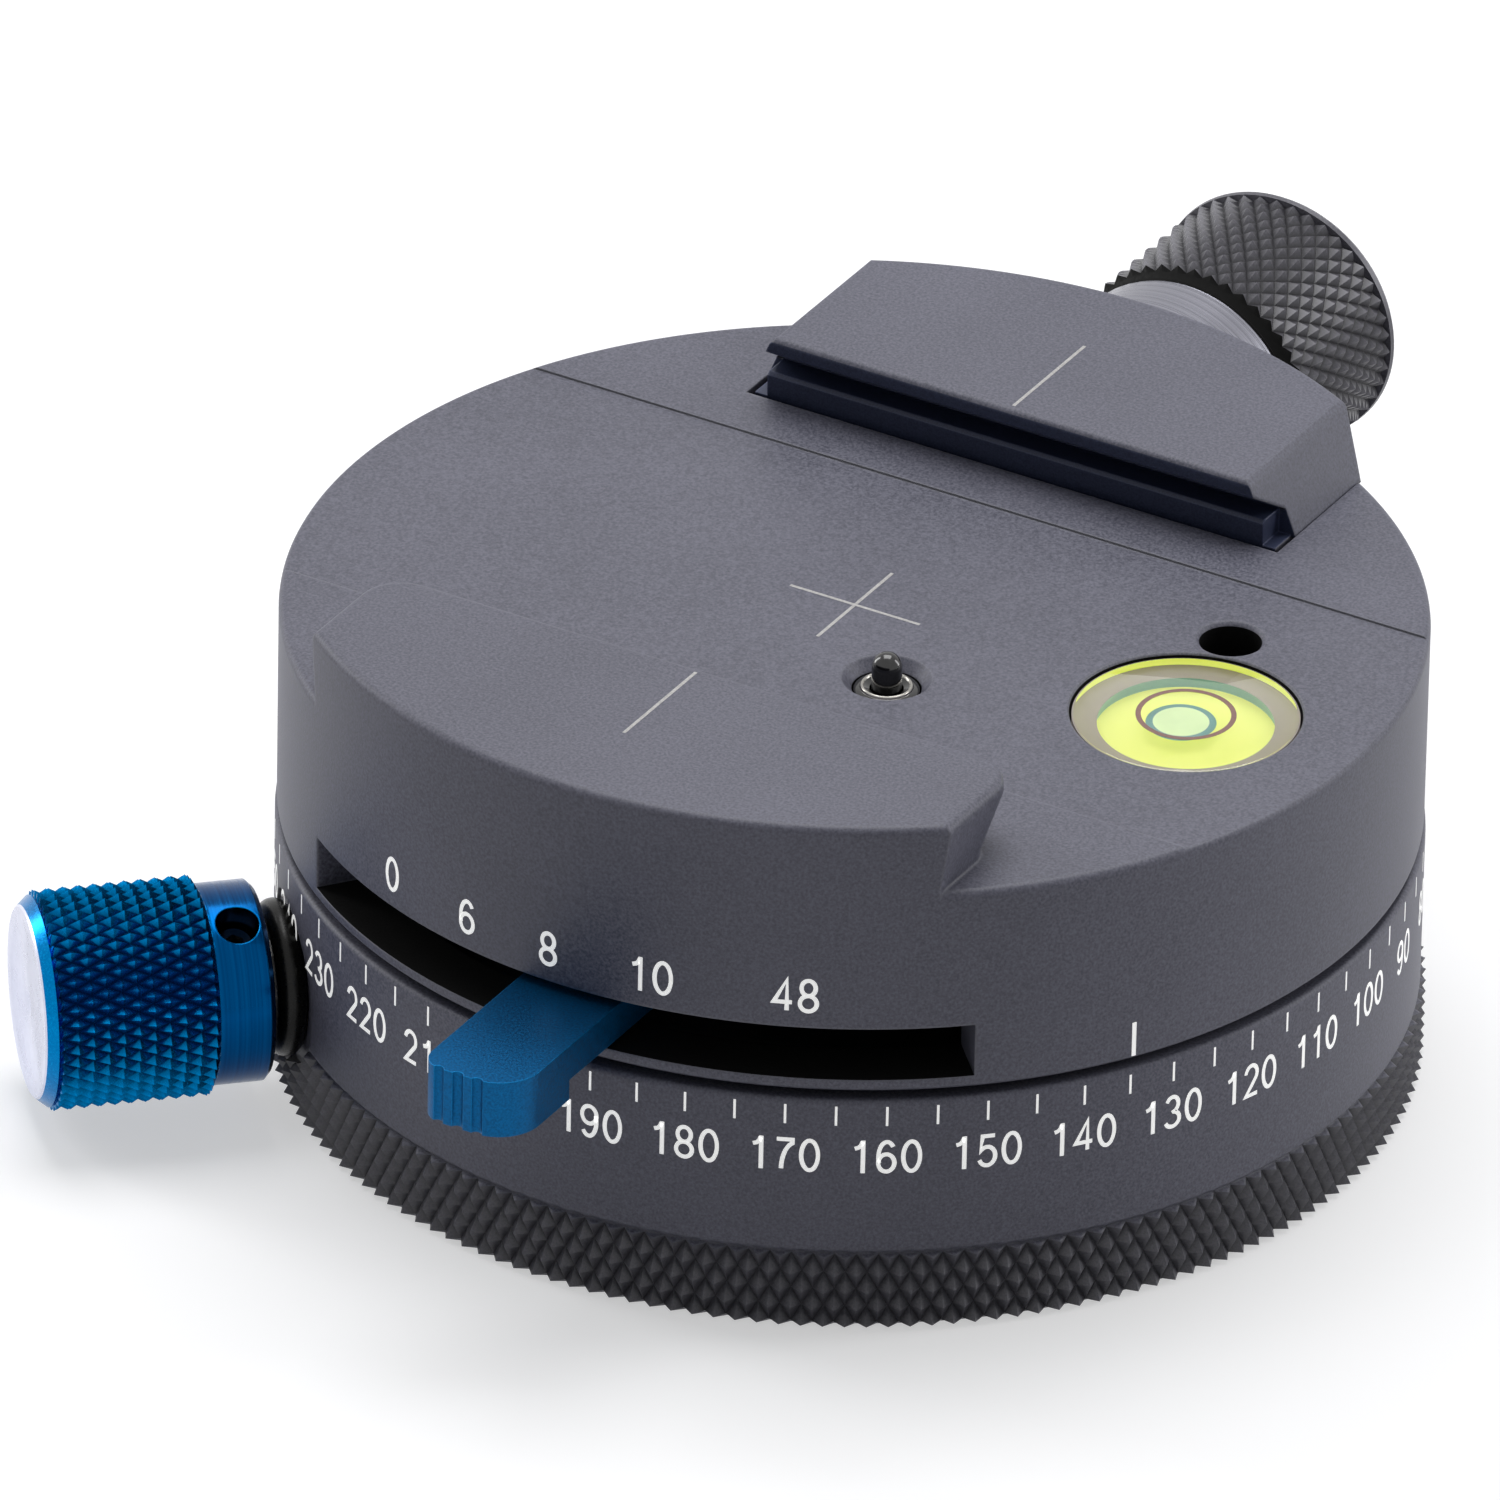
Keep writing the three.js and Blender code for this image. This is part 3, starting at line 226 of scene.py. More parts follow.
def lay(piece: Thing, place: Place = (0, 0, 0), turn: Sequence[float] = Turn.UP.value) -> Thing:
    """Turns a piece and moves it into the frame, as shift does with a height from the foot."""
    return shift(piece, (place[0], place[1], place[2] - FLOOR_HEIGHT), turn)


def close_up(piece: Thing) -> None:
    """Merges doubled vertices and turns all faces outwards.

    Args:
        piece: the mesh object.
    """
    with editing(piece):
        bpy.ops.mesh.select_all(action="SELECT")
        bpy.ops.mesh.remove_doubles(threshold=1e-7)
        bpy.ops.mesh.normals_make_consistent(inside=False)


def smooth(piece: Thing, angle: float = 35.0) -> None:
    """Shades a piece smooth, apart from edges sharper than an angle in degrees."""
    activate(piece)
    bpy.ops.object.shade_smooth_by_angle(angle=math.radians(angle))


def keep_flats(piece: Thing) -> None:
    """Lets the large faces of a milled piece set its shading, so that flats stay flat beside cuts."""
    apply_modifier(piece, "WEIGHTED_NORMAL", keep_sharp=True)


def apply_modifier(piece: Thing, kind: str, **settings: object) -> None:
    """Adds one modifier, sets it and applies it.

    Args:
        piece: the mesh object.
        kind: Blender's name for the modifier.
        **settings: values for the modifier's own properties.
    """
    modifier = piece.modifiers.new(kind.lower(), kind)
    for key, value in settings.items():
        setattr(modifier, key, value)
    activate(piece)
    bpy.ops.object.modifier_apply(modifier=modifier.name)


def combine(piece: Thing, tool: Thing, operation: str) -> None:
    """Cuts, joins or intersects a piece with a tool, which is then thrown away.

    Args:
        piece: the mesh object that stays.
        tool: the mesh object that it is combined with.
        operation: DIFFERENCE, UNION or INTERSECT.
    """
    apply_modifier(piece, "BOOLEAN", object=tool, operation=operation, solver="EXACT")
    bpy.data.objects.remove(tool)


def cut(piece: Thing, *tools: Thing) -> None:
    """Cuts each tool out of a piece in turn."""
    for tool in tools:
        combine(piece, tool, "DIFFERENCE")


def polar(radius: float, degrees: float) -> Point:
    """A place in plan at a radius and an angle anticlockwise from +X."""
    angle = math.radians(degrees)
    return radius * math.cos(angle), radius * math.sin(angle)


def arc(centre: Point, radius: float, start: float, end: float, steps: int) -> list[Point]:
    """Points along an arc.

    Args:
        centre: the arc's centre.
        radius: its radius.
        start: first angle in degrees.
        end: last angle in degrees.
        steps: how many chords it has.

    Returns:
        The points, both ends among them.
    """
    points = []
    for step in range(steps + 1):
        across, along = polar(radius, start + (end - start) * step / steps)
        points.append((centre[0] + across, centre[1] + along))
    return points


def rounded_rim(radius: float, top: float, reach: float, steps: int = 5) -> list[Point]:
    """Profile of a drum's rounded upper rim, from its wall to its top."""
    return arc((radius - reach, top - reach), reach, 0, 90, steps)


def off_axis(place: Vector, centre: Point = (0.0, 0.0)) -> float:
    """How far a place is, in plan, from an upright axis."""
    return math.hypot(place.x - centre[0], place.y - centre[1])


def turned(name: str, profile: Outline, segments: int, hollow: bool = False) -> Thing:
    """A form turned about Z, extruded ring by ring from a circle.

    Args:
        name: the piece's name.
        profile: radius and height pairs, from one end to the other, or round a ring's section.
        segments: how many faces go round.
        hollow: True for a ring, whose section closes on itself.

    Returns:
        The closed mesh object, about the origin.
    """
    radius, height = profile[0]
    deselect_all()
    bpy.ops.mesh.primitive_circle_add(
        vertices=segments,
        radius=radius * MM,
        fill_type="NOTHING" if hollow else "NGON",
        location=(0, 0, height * MM),
    )
    piece = named(name)
    settle_place(piece)
    steps = [*profile[1:], profile[0]] if hollow else profile[1:]
    with editing(piece):
        bpy.ops.mesh.select_all(action="SELECT")
        for next_radius, next_height in steps:
            rise = (next_height - height) * MM
            bpy.ops.mesh.extrude_region_move(TRANSFORM_OT_translate={"value": (0, 0, rise)})
            grow = next_radius / radius
            bpy.ops.transform.resize(value=(grow, grow, 1), center_override=(0, 0, 0))
            radius, height = next_radius, next_height
    close_up(piece)
    return piece


def rod(name: str, radius: float, start: float, end: float, segments: int = 48) -> Thing:
    """A plain round tool along Z, used to bore and to trim."""
    return turned(name, [(radius, start), (radius, end)], segments)


@dataclass(frozen=True)
class Bore:
    """A round hole: its radius, where it starts and ends along its axis, and its faces round."""

    radius: float
    start: float
    end: float
    segments: int = 48

    def tool(self, name: str) -> Thing:
        """The rod that cuts it, along Z."""
        return rod(name, self.radius, self.start, self.end, self.segments)


def flat(name: str, outlines: Sequence[Outline], thickness: float = 0.0) -> Thing:
    """A filled shape in the XY plane, from curves that are turned into a mesh.

    Args:
        name: the piece's name.
        outlines: its outer outline, and then any inner one, in millimetres.
        thickness: how thick it is, half of it on each side of the plane.

    Returns:
        The mesh object, which is open and faces up where it has no thickness.
    """
    curve = bpy.data.curves.new(name, "CURVE")
    curve.dimensions = "2D"
    curve.fill_mode = "BOTH"
    curve.extrude = thickness / 2 * MM
    for outline in outlines:
        spline = curve.splines.new("POLY")
        spline.points.add(len(outline) - 1)
        for point, (across, along) in zip(spline.points, outline):
            point.co = (across * MM, along * MM, 0, 1)
        spline.use_cyclic_u = True
    piece = bpy.data.objects.new(name, curve)
    bpy.context.scene.collection.objects.link(piece)
    activate(piece)
    bpy.ops.object.convert(target="MESH")
    return named(name)


def slab(name: str, outline: Outline, bottom: float, top: float) -> Thing:
    """An outline in plan pulled up between two heights.

    Args:
        name: the piece's name.
        outline: corner places in order, in millimetres.
        bottom: lower height.
        top: upper height.

    Returns:
        The closed mesh object, its heights as given.
    """
    piece = flat(name, [outline], top - bottom)
    piece.location = (0, 0, (bottom + top) / 2 * MM)
    settle_place(piece)
    close_up(piece)
    with editing(piece):
        bpy.ops.mesh.select_all(action="SELECT")
        bpy.ops.mesh.dissolve_limited(angle_limit=math.radians(0.1))
    return piece


def bar(name: str, outline: Outline, half_length: float) -> Thing:
    """A section of depth and height pairs pulled along X, centred on x = 0."""
    return shift(slab(name, outline, -half_length, half_length), (0, 0, 0), Turn.CROSSWISE.value)


def block(name: str, low: Place, high: Place) -> Thing:
    """A square-edged tool between two corners, in millimetres."""
    outline = [(low[0], low[1]), (high[0], low[1]), (high[0], high[1]), (low[0], high[1])]
    return slab(name, outline, low[2], high[2])


def copy_of(piece: Thing, name: str) -> Thing:
    """A copy with its own mesh.

    Args:
        piece: the mesh object to copy.
        name: the copy's name.

    Returns:
        The copy.
    """
    twin = piece.copy()
    twin.data = piece.data.copy()
    twin.name = name
    bpy.context.scene.collection.objects.link(twin)
    return twin


def joined(name: str, pieces: Sequence[Thing]) -> Thing:
    """Joins pieces into the first one, which takes the name.

    Args:
        name: the piece's name.
        pieces: mesh objects, of which the first one stays.

    Returns:
        The joined piece.
    """
    activate(pieces[0])
    for piece in pieces:
        piece.select_set(True)
    bpy.ops.object.join()
    return named(name)


@dataclass(frozen=True)
class Knurl:
    """A diamond knurl pressed round a turned form.

    Attributes:
        start: height of its first row.
        end: height of its last row.
        root: radius of its valleys.
        crest: radius of its points.
        columns: points and valleys round it, an even number.
        rows: steps along it.
    """

    start: float
    end: float
    root: float
    crest: float
    columns: int
    rows: int

    @property
    def rise(self) -> float:
        """Distance from row to row."""
        return (self.end - self.start) / self.rows

    def rings(self) -> list[Point]:
        """Radius and height of each row, before the points are drawn out."""
        return [(self.root, self.start + self.rise * row) for row in range(self.rows + 1)]

    def is_point(self, place: Vector) -> bool:
        """Whether a vertex becomes a point of the knurl.

        Args:
            place: its place, in metres.

        Returns:
            True for every other vertex of the band.
        """
        row = (place.z / MM - self.start) / self.rise
        on_band = -NEAR < row < self.rows + NEAR and abs(row - round(row)) < NEAR
        column = round(math.atan2(place.y, place.x) / (2 * math.pi / self.columns))
        on_root = abs(off_axis(place) / MM - self.root) <= NEAR
        return on_band and on_root and (column + round(row)) % 2 == 0

    def press(self, piece: Thing) -> None:
        """Draws every other vertex of the band out, and splits its faces along the valleys.

        Args:
            piece: a form turned with as many segments as the knurl has columns.
        """
        pick_vertices(piece, self.is_point)
        with editing(piece):
            bpy.ops.mesh.select_mode(type="VERT")
            grow = self.crest / self.root
            bpy.ops.transform.resize(value=(grow, grow, 1), center_override=(0, 0, 0))
        low = (self.start - NEAR) * MM
        high = (self.end + NEAR) * MM
        pick_vertices(piece, lambda place: low < place.z < high)
        with editing(piece):
            bpy.ops.mesh.select_mode(type="VERT")
            bpy.ops.mesh.select_mode(type="FACE")
            bpy.ops.mesh.quads_convert_to_tris(quad_method="SHORTEST_DIAGONAL")
            bpy.ops.mesh.select_mode(type="VERT")
        # keeps each vertex's height in the band, from which the knurled finishes paint shade into the valleys
        mask = piece.data.attributes.new(VALLEY_SHADE_MASK, "FLOAT", "POINT")
        for number, vertex in enumerate(piece.data.vertices):
            share = (off_axis(vertex.co) / MM - self.root) / (self.crest - self.root)
            mask.data[number].value = share if low < vertex.co.z < high else 1.0


# ---------------------------------------------------------------- shader effects


def feed(tree: Tree, node: Node, values: dict[str | int, object]) -> None:
    """Links each socket that it is given to a node's input, and sets each plain value there.

    Args:
        tree: the node tree.
        node: the node that is fed.
        values: a socket or a plain value for each input, by name or number.
    """
    for key, value in values.items():
        if isinstance(value, Socket):
            tree.links.new(value, node.inputs[key])
        else:
            node.inputs[key].default_value = value


def add_node(tree: Tree, kind: str, values: dict[str | int, object], **settings: object) -> Node:
    """Adds a shader node.

    Args:
        tree: the node tree that it goes in.
        kind: Blender's name for its type, without ShaderNode.
        values: sockets or plain values for its inputs.
        **settings: values for the node's own properties.

    Returns:
        The new node.
    """
    node = tree.nodes.new(f"ShaderNode{kind}")
    for key, value in settings.items():
        setattr(node, key, value)
    feed(tree, node, values)
    return node


def math_node(tree: Tree, operation: str, *terms: object) -> Socket:
    """Works out one sum of sockets or numbers, and gives its result."""
    return add_node(tree, "Math", dict(enumerate(terms)), operation=operation).outputs[0]


def dot_node(tree: Tree, first: object, second: object) -> Socket:
    """Works out the dot product of two vectors, and gives its result."""
    return add_node(tree, "VectorMath", {0: first, 1: second}, operation="DOT_PRODUCT").outputs["Value"]


def range_node(tree: Tree, value: Socket, source: Point = (0.0, 1.0),
               target: Point = (0.0, 1.0)) -> Socket:
    """Maps a value from one range to another, and gives its result."""
    names = ("From Min", "From Max", "To Min", "To Max")
    return add_node(tree, "MapRange", {"Value": value, **dict(zip(names, (*source, *target)))}).outputs["Result"]


def mix_node(tree: Tree, share: object, first: object, second: object,
             blend: str = "MIX") -> Socket:
    """Mixes two colours.

    Args:
        tree: the node tree that it goes in.
        share: how much of the second colour shows, a socket or a number.
        first: a socket or a plain colour.
        second: a socket or a plain colour.
        blend: Blender's name for the way they mix.

    Returns:
        The node's colour socket.
    """
    values = {"Factor": share}
    for name, colour in (("A", first), ("B", second)):
        values[name] = colour if isinstance(colour, Socket) else (*colour, 1)
    return add_node(tree, "Mix", values, data_type="RGBA", blend_type=blend).outputs["Result"]


def new_group(name: str, inputs: dict[str, object], outputs: Sequence[str]) -> Tree:
    """An empty shader node group with named sockets.

    Args:
        name: the group's name.
        inputs: the default of each input, a number or, for a vector, three of them.
        outputs: the name of each output; one called Normal is a vector.

    Returns:
        The group, with its input and output nodes named "in" and "out".
    """
    group = bpy.data.node_groups.new(name, "ShaderNodeTree")
    for label, default in inputs.items():
        kind = "Float" if isinstance(default, float) else "Vector"
        socket = group.interface.new_socket(label, in_out="INPUT", socket_type=f"NodeSocket{kind}")
        socket.default_value = default
    for label in outputs:
        kind = "Vector" if label == "Normal" else "Float"
        group.interface.new_socket(label, in_out="OUTPUT", socket_type=f"NodeSocket{kind}")
    group.nodes.new("NodeGroupInput").name = "in"
    group.nodes.new("NodeGroupOutput").name = "out"
    return group


def grain_group() -> Tree:
    """Fine relief of a blasted or moulded surface, with a slow change of tone over it.

    Returns:
        A group that takes Place and Size in millimetres, and gives Height and Tone.
    """
    group = new_group("fine_grain", {"Place": (0.0, 0.0, 0.0), "Size": 0.2}, ("Height", "Tone"))
    source = group.nodes["in"].outputs
    place, scale = source["Place"], math_node(group, "DIVIDE", 1 / MM, source["Size"])
    fine = add_node(group, "TexNoise", {"Vector": place, "Scale": scale, "Detail": 3, "Roughness": 0.6})
    slow = add_node(group, "TexNoise", {"Vector": place, "Scale": 90, "Detail": 2})
    sparkle = math_node(group, "MULTIPLY", fine.outputs["Fac"], 0.86)
    drift = math_node(group, "MULTIPLY", slow.outputs["Fac"], 0.14)
    tone = math_node(group, "ADD", sparkle, drift)
    feed(group, group.nodes["out"], {"Height": fine.outputs["Fac"], "Tone": tone})
    return group


def turning_group() -> Tree:
    """Fine lines that a lathe tool leaves, stepped along a given axis.

    Returns:
        A group that takes Place, Axis and Pitch in millimetres, and gives Height and Tone.
    """
    group = new_group(
        "turning_lines", {"Place": (0.0, 0.0, 0.0), "Axis": (0.0, 0.0, 1.0), "Pitch": 0.12}, ("Height", "Tone"),
    )
    source = group.nodes["in"].outputs
    along = dot_node(group, source["Place"], source["Axis"])
    scaled = math_node(group, "DIVIDE", along, math_node(group, "MULTIPLY", source["Pitch"], MM))
    lines = add_node(group, "TexNoise", {"W": scaled, "Scale": 1, "Detail": 2}, noise_dimensions="1D").outputs["Fac"]
    feed(group, group.nodes["out"], {"Height": lines, "Tone": lines})
    return group


def edge_group() -> Tree:
    """Softened edges, and a mask of where an edge is, for the highlight painted along it.

    Returns:
        A group that takes Reach in metres, and gives Normal and Mask.
    """
    group = new_group("soft_edges", {"Reach": 0.0002}, ("Normal", "Mask"))
    reach = group.nodes["in"].outputs["Reach"]
    rounded = add_node(group, "Bevel", {"Radius": reach}, samples=6).outputs["Normal"]
    plain = add_node(group, "NewGeometry", {}).outputs["Normal"]
    away = math_node(group, "SUBTRACT", 1.0, dot_node(group, rounded, plain))
    feed(group, group.nodes["out"], {"Normal": rounded, "Mask": range_node(group, away, (0.01, 0.16))})
    return group


@dataclass(frozen=True)
class Effects:
    """The shared shader groups, built once."""

    grain: Tree
    turning: Tree
    edges: Tree

    @staticmethod
    def build() -> "Effects":
        """Builds the three groups."""
        return Effects(grain_group(), turning_group(), edge_group())

    def lay_grain(self, tree: Tree, size: float) -> Node:
        """Adds the fine grain to a material, at a size in millimetres."""
        where = add_node(tree, "TexCoord", {}).outputs["Object"]
        return add_node(tree, "Group", {"Place": where, "Size": size}, node_tree=self.grain)

    def lay_turning(self, tree: Tree, pitch: float, axis: Place) -> Node:
        """Adds lathe lines to a material, at a pitch in millimetres along an axis."""
        where = add_node(tree, "TexCoord", {}).outputs["Object"]
        return add_node(tree, "Group", {"Place": where, "Axis": axis, "Pitch": pitch}, node_tree=self.turning)


# ---------------------------------------------------------------- finishes


def new_material(name: str) -> tuple[Material, Tree, Node]:
    """A new material, its node tree and its surface shader.

    Args:
        name: the material's name.

    Returns:
        The material, its node tree and its surface shader.
    """
    made = bpy.data.materials.new(name)
    made.use_nodes = True
    return made, made.node_tree, made.node_tree.nodes["Principled BSDF"]


@dataclass(frozen=True)
class Finish:
    """A solid finish on metal, rubber or plastic.

    Attributes:
        name: the material's name.
        dark: colour of the low spots, linear.
        light: colour of the high spots, linear.
        roughness: lowest and highest roughness over the surface.
        metallic: share of bare metal.
        grain: how the surface was made.
        size: grain size or tool pitch, in millimetres.
        depth: relief, in millimetres.
        axis: the axis of turning lines.
        edge: colour of the highlight painted along the edges; the default darkens the edges of steel and brass.
        edge_reach: width of the softened edge and of its painted highlight, in millimetres, or 0 for none.
        edge_share: how much of the painted edge highlight shows.
        coat: weight of a clear top layer.
        specular: level of the plain reflection.
        valley: brightness of a knurl's valleys against its points, painted shade in its hollows, or 1 where there is
            no knurl.
    """

    name: str
    dark: Colour
    light: Colour
    roughness: Point
    metallic: float = 0.0
    grain: Grain = Grain.BLASTED
    size: float = 0.2
    depth: float = 0.004
    axis: Place = (0.0, 0.0, 1.0)
    edge: Colour = (0.2, 0.2, 0.22)
    edge_reach: float = 0.0
    edge_share: float = 0.3
    coat: float = 0.0
    specular: float = 0.5
    valley: float = 1.0

    def material(self, effects: Effects) -> Material:
        """Builds the material.

        Args:
            effects: the shared shader groups.

        Returns:
            The new material.
        """
        made, tree, surface = new_material(self.name)
        feed(tree, surface, {
            "Metallic": self.metallic,
            "Coat Weight": self.coat,
            "Coat Roughness": 0.15,
            "Specular IOR Level": self.specular,
        })
        if self.grain is Grain.TURNED:
            relief = effects.lay_turning(tree, self.size, self.axis)
        else:
            relief = effects.lay_grain(tree, self.size)
        tone = range_node(tree, relief.outputs["Tone"], source=(0.35, 0.65))
        bump = add_node(tree, "Bump", {"Height": relief.outputs["Height"], "Distance": self.depth * MM})
        shown = mix_node(tree, tone, self.dark, self.light)
        # painted shade in a knurl's valleys
        if self.valley < 1:
            shown = self.with_valleys(tree, shown)
        # paints a highlight along the edges, in the edge colour
        if self.edge_reach > 0:
            edges = add_node(tree, "Group", {"Reach": self.edge_reach * MM}, node_tree=effects.edges)
            feed(tree, bump, {"Normal": edges.outputs["Normal"]})
            share = math_node(tree, "MULTIPLY", edges.outputs["Mask"], self.edge_share)
            shown = mix_node(tree, share, shown, self.edge)
        feed(tree, surface, {
            "Base Color": shown,
            "Roughness": range_node(tree, tone, target=self.roughness),
            "Normal": bump.outputs["Normal"],
        })
        return made

    def with_valleys(self, tree: Tree, shown: Socket) -> Socket:
        """Paints shade into a knurl's valleys, darkening a colour towards them."""
        crest = add_node(tree, "Attribute", {}, attribute_name=VALLEY_SHADE_MASK).outputs["Fac"]
        return mix_node(tree, 1.0, shown, range_node(tree, crest, target=(self.valley, 1.0)), "MULTIPLY")


@dataclass(frozen=True)
class ClearFinish:
    """A clear or tinted see-through finish.

    Attributes:
        name: the material's name.
        tint: colour that it takes away from white, linear.
        roughness: lowest and highest roughness.
        ior: index of refraction.
        transmission: share of light let through.
        size: size of the faint haze, in millimetres.
    """

    name: str
    tint: Colour
    roughness: Point
    ior: float = 1.49
    transmission: float = 1.0
    size: float = 1.5

    def material(self, effects: Effects) -> Material:
        """Builds the material.

        Args:
            effects: the shared shader groups.

        Returns:
            The new material.
        """
        made, tree, surface = new_material(self.name)
        haze = effects.lay_grain(tree, self.size)
        feed(tree, surface, {
            "Base Color": (*self.tint, 1),
            "Transmission Weight": self.transmission,
            "IOR": self.ior,
            "Roughness": range_node(tree, haze.outputs["Tone"], target=self.roughness),
        })
        return made


@dataclass(frozen=True)
class GlowFinish:
    """Painted light: a plain colour that also gives off a little light of its own, though the part is no lamp.

    Attributes:
        name: the material's name.
        dark: colour of the low spots, linear.
        light: colour of the high spots, linear.
        glow: strength of its painted light.
        roughness: the same all over.
        size: size of its faint clouds, in millimetres.
    """

    name: str
    dark: Colour
    light: Colour
    glow: float
    roughness: float = 0.35
    size: float = 3.0

    def material(self, effects: Effects) -> Material:
        """Builds the material.

        Args:
            effects: the shared shader groups.

        Returns:
            The new material.
        """
        made, tree, surface = new_material(self.name)
        cloud = effects.lay_grain(tree, self.size)
        colour = mix_node(tree, cloud.outputs["Tone"], self.dark, self.light)
        feed(tree, surface, {
            "Roughness": self.roughness,
            "Base Color": colour,
            "Emission Color": colour,
            "Emission Strength": self.glow,
        })
        return made


LOCK_AXIS = (*polar(1.0, LOCK_ANGLE), 0.0)
LOCK_TURN = (0.0, math.pi / 2, math.radians(LOCK_ANGLE))


@dataclass
class Paintbox:
    """Every material of the head, each built once."""

    effects: Effects
    made: dict[str, Material] = field(default_factory=dict)

    FINISHES = (
        # the body's edges get a painted highlight, lighter than its faces
        Finish("body_blasted", (0.058, 0.059, 0.083), (0.148, 0.148, 0.190), (0.40, 0.58), size=0.17, depth=0.018,
               edge=(0.30, 0.30, 0.34), edge_reach=0.3, edge_share=0.4, specular=0.4),
        # the base knurl's valleys are painted darker, as shade
        Finish("body_knurl", (0.085, 0.083, 0.100), (0.150, 0.148, 0.172), (0.36, 0.5), size=0.15, depth=0.008,
               specular=0.5, valley=0.4),
        # painted shade under the moving jaw's lip, with a bluish highlight painted along its edges
        Finish("jaw_undercut_shade", (0.022, 0.028, 0.058), (0.042, 0.052, 0.100), (0.34, 0.46), size=0.11, depth=0.006,
               edge=(0.10, 0.12, 0.24), edge_reach=0.15, edge_share=0.6, specular=0.3),
        # near-black painted where shade falls: the chamber, the slot, the walls of round holes and the clamp knob's
        # step
        Finish("painted_shade_black", (0.003, 0.003, 0.003), (0.006, 0.006, 0.006), (0.5, 0.7), size=0.2, specular=0.1),
        # the black knob's knurl valleys are painted darker, as shade
        Finish("knob_black", (0.070, 0.068, 0.084), (0.120, 0.117, 0.138), (0.34, 0.46), metallic=0.2,
               size=0.14, depth=0.006, specular=0.5, valley=0.2),
        Finish("collar_turned", (0.20, 0.20, 0.235), (0.26, 0.26, 0.30), (0.24, 0.32), metallic=0.8,
               grain=Grain.TURNED, size=0.16, depth=0.0003, axis=(0.0, 1.0, 0.0), edge_reach=0.15),
        # the lever's edges get a painted blue highlight
        Finish("lever_blue", (0.0, 0.060, 0.17), (0.0, 0.115, 0.30), (0.38, 0.52), metallic=0.85, size=0.14,
               depth=0.010, edge=(0.0, 0.27, 0.62), edge_reach=0.1, edge_share=0.4),
        # the blue knob's knurl valleys are painted darker, as shade
        Finish("knob_blue", (0.0, 0.15, 0.40), (0.0, 0.20, 0.50), (0.20, 0.30), metallic=1.0, size=0.15,
               depth=0.003, valley=0.34),
        # the blue collar's edges get a painted bright-blue highlight
        Finish("knob_blue_turned", (0.0, 0.042, 0.145), (0.0, 0.058, 0.185), (0.16, 0.24), metallic=1.0,
               grain=Grain.TURNED, size=0.2, depth=0.0002, axis=LOCK_AXIS, edge_reach=0.12,
               edge=(0.0, 0.35, 0.78)),
        Finish("knob_face", (0.64, 0.66, 0.80), (0.72, 0.74, 0.88), (0.26, 0.30), metallic=0.85, size=1.6,
               depth=0.0002),
        Finish("seal_rubber", (0.002, 0.002, 0.0015), (0.005, 0.005, 0.004), (0.24, 0.36), size=0.25, depth=0.002,
               grain=Grain.MOULDED, specular=0.2),
        Finish("laser_mark_soft", (0.34, 0.33, 0.33), (0.56, 0.55, 0.54), (0.5, 0.7), size=0.12, depth=0.004),
        # the white marks give off a little painted light
        GlowFinish("laser_mark", (0.84, 0.84, 0.83), (0.96, 0.96, 0.94), 0.5),
        Finish("steel_turned", (0.30, 0.29, 0.27), (0.46, 0.44, 0.41), (0.14, 0.26), metallic=1.0,
               grain=Grain.TURNED, size=0.12, depth=0.0012, edge_reach=0.1),
        Finish("steel_black", (0.006, 0.006, 0.006), (0.014, 0.014, 0.014), (0.06, 0.14), metallic=0.5,
               size=0.3, depth=0.0006, coat=0.6),
        Finish("steel_dark", (0.012, 0.012, 0.013), (0.028, 0.028, 0.03), (0.4, 0.55), metallic=0.6, size=0.2),
        Finish("brass_turned", (0.42, 0.30, 0.12), (0.62, 0.46, 0.20), (0.25, 0.4), metallic=1.0,
               grain=Grain.TURNED, size=0.14, depth=0.0015, edge_reach=0.1),
        Finish("acetal_white", (0.62, 0.61, 0.57), (0.74, 0.73, 0.69), (0.4, 0.5), grain=Grain.MOULDED, size=0.4),
        Finish("level_ring_ink", (0.20, 0.10, 0.085), (0.26, 0.14, 0.12), (0.4, 0.5), grain=Grain.MOULDED),
        ClearFinish("acrylic_clear", (0.97, 0.99, 0.95), (0.0, 0.03)),
        # the level's parts give off painted light: the yellow liquid, its teal wall, the backing, the bright edge
        # standing for light along the cap's rim, and the bubble
        GlowFinish("liquid_yellow", (0.60, 0.62, 0.13), (0.70, 0.71, 0.20), 0.55),
        GlowFinish("liquid_wall", (0.08, 0.19, 0.20), (0.12, 0.26, 0.27), 0.5),
        GlowFinish("level_backing", (0.24, 0.205, 0.195), (0.30, 0.26, 0.25), 0.3),
        GlowFinish("level_edge_glow", (0.56, 0.62, 0.07), (0.66, 0.72, 0.12), 0.8),
        GlowFinish("bubble_pale", (0.36, 0.46, 0.28), (0.52, 0.62, 0.36), 0.7),
    )

    def __post_init__(self) -> None:
        """Builds each finish's material."""
        for finish in self.FINISHES:
            self.made[finish.name] = finish.material(self.effects)

    def coat(self, piece: Thing, *names: str) -> None:
        """Gives a new piece its materials, in slot order.

        Args:
            piece: the mesh object.
            *names: names of finishes, one for each slot.
        """
        piece.data.materials.clear()
        for name in names:
            piece.data.materials.append(self.made[name])

    def coat_node(self, node: Thing, name: str) -> None:
        """Gives a carried-over CAD node its material, in the object's own slots.

        Args:
            node: the CAD node's object.
            name: the finish's name.
        """
        for holder in node.material_slots:
            holder.link = "OBJECT"
            holder.material = self.made[name]


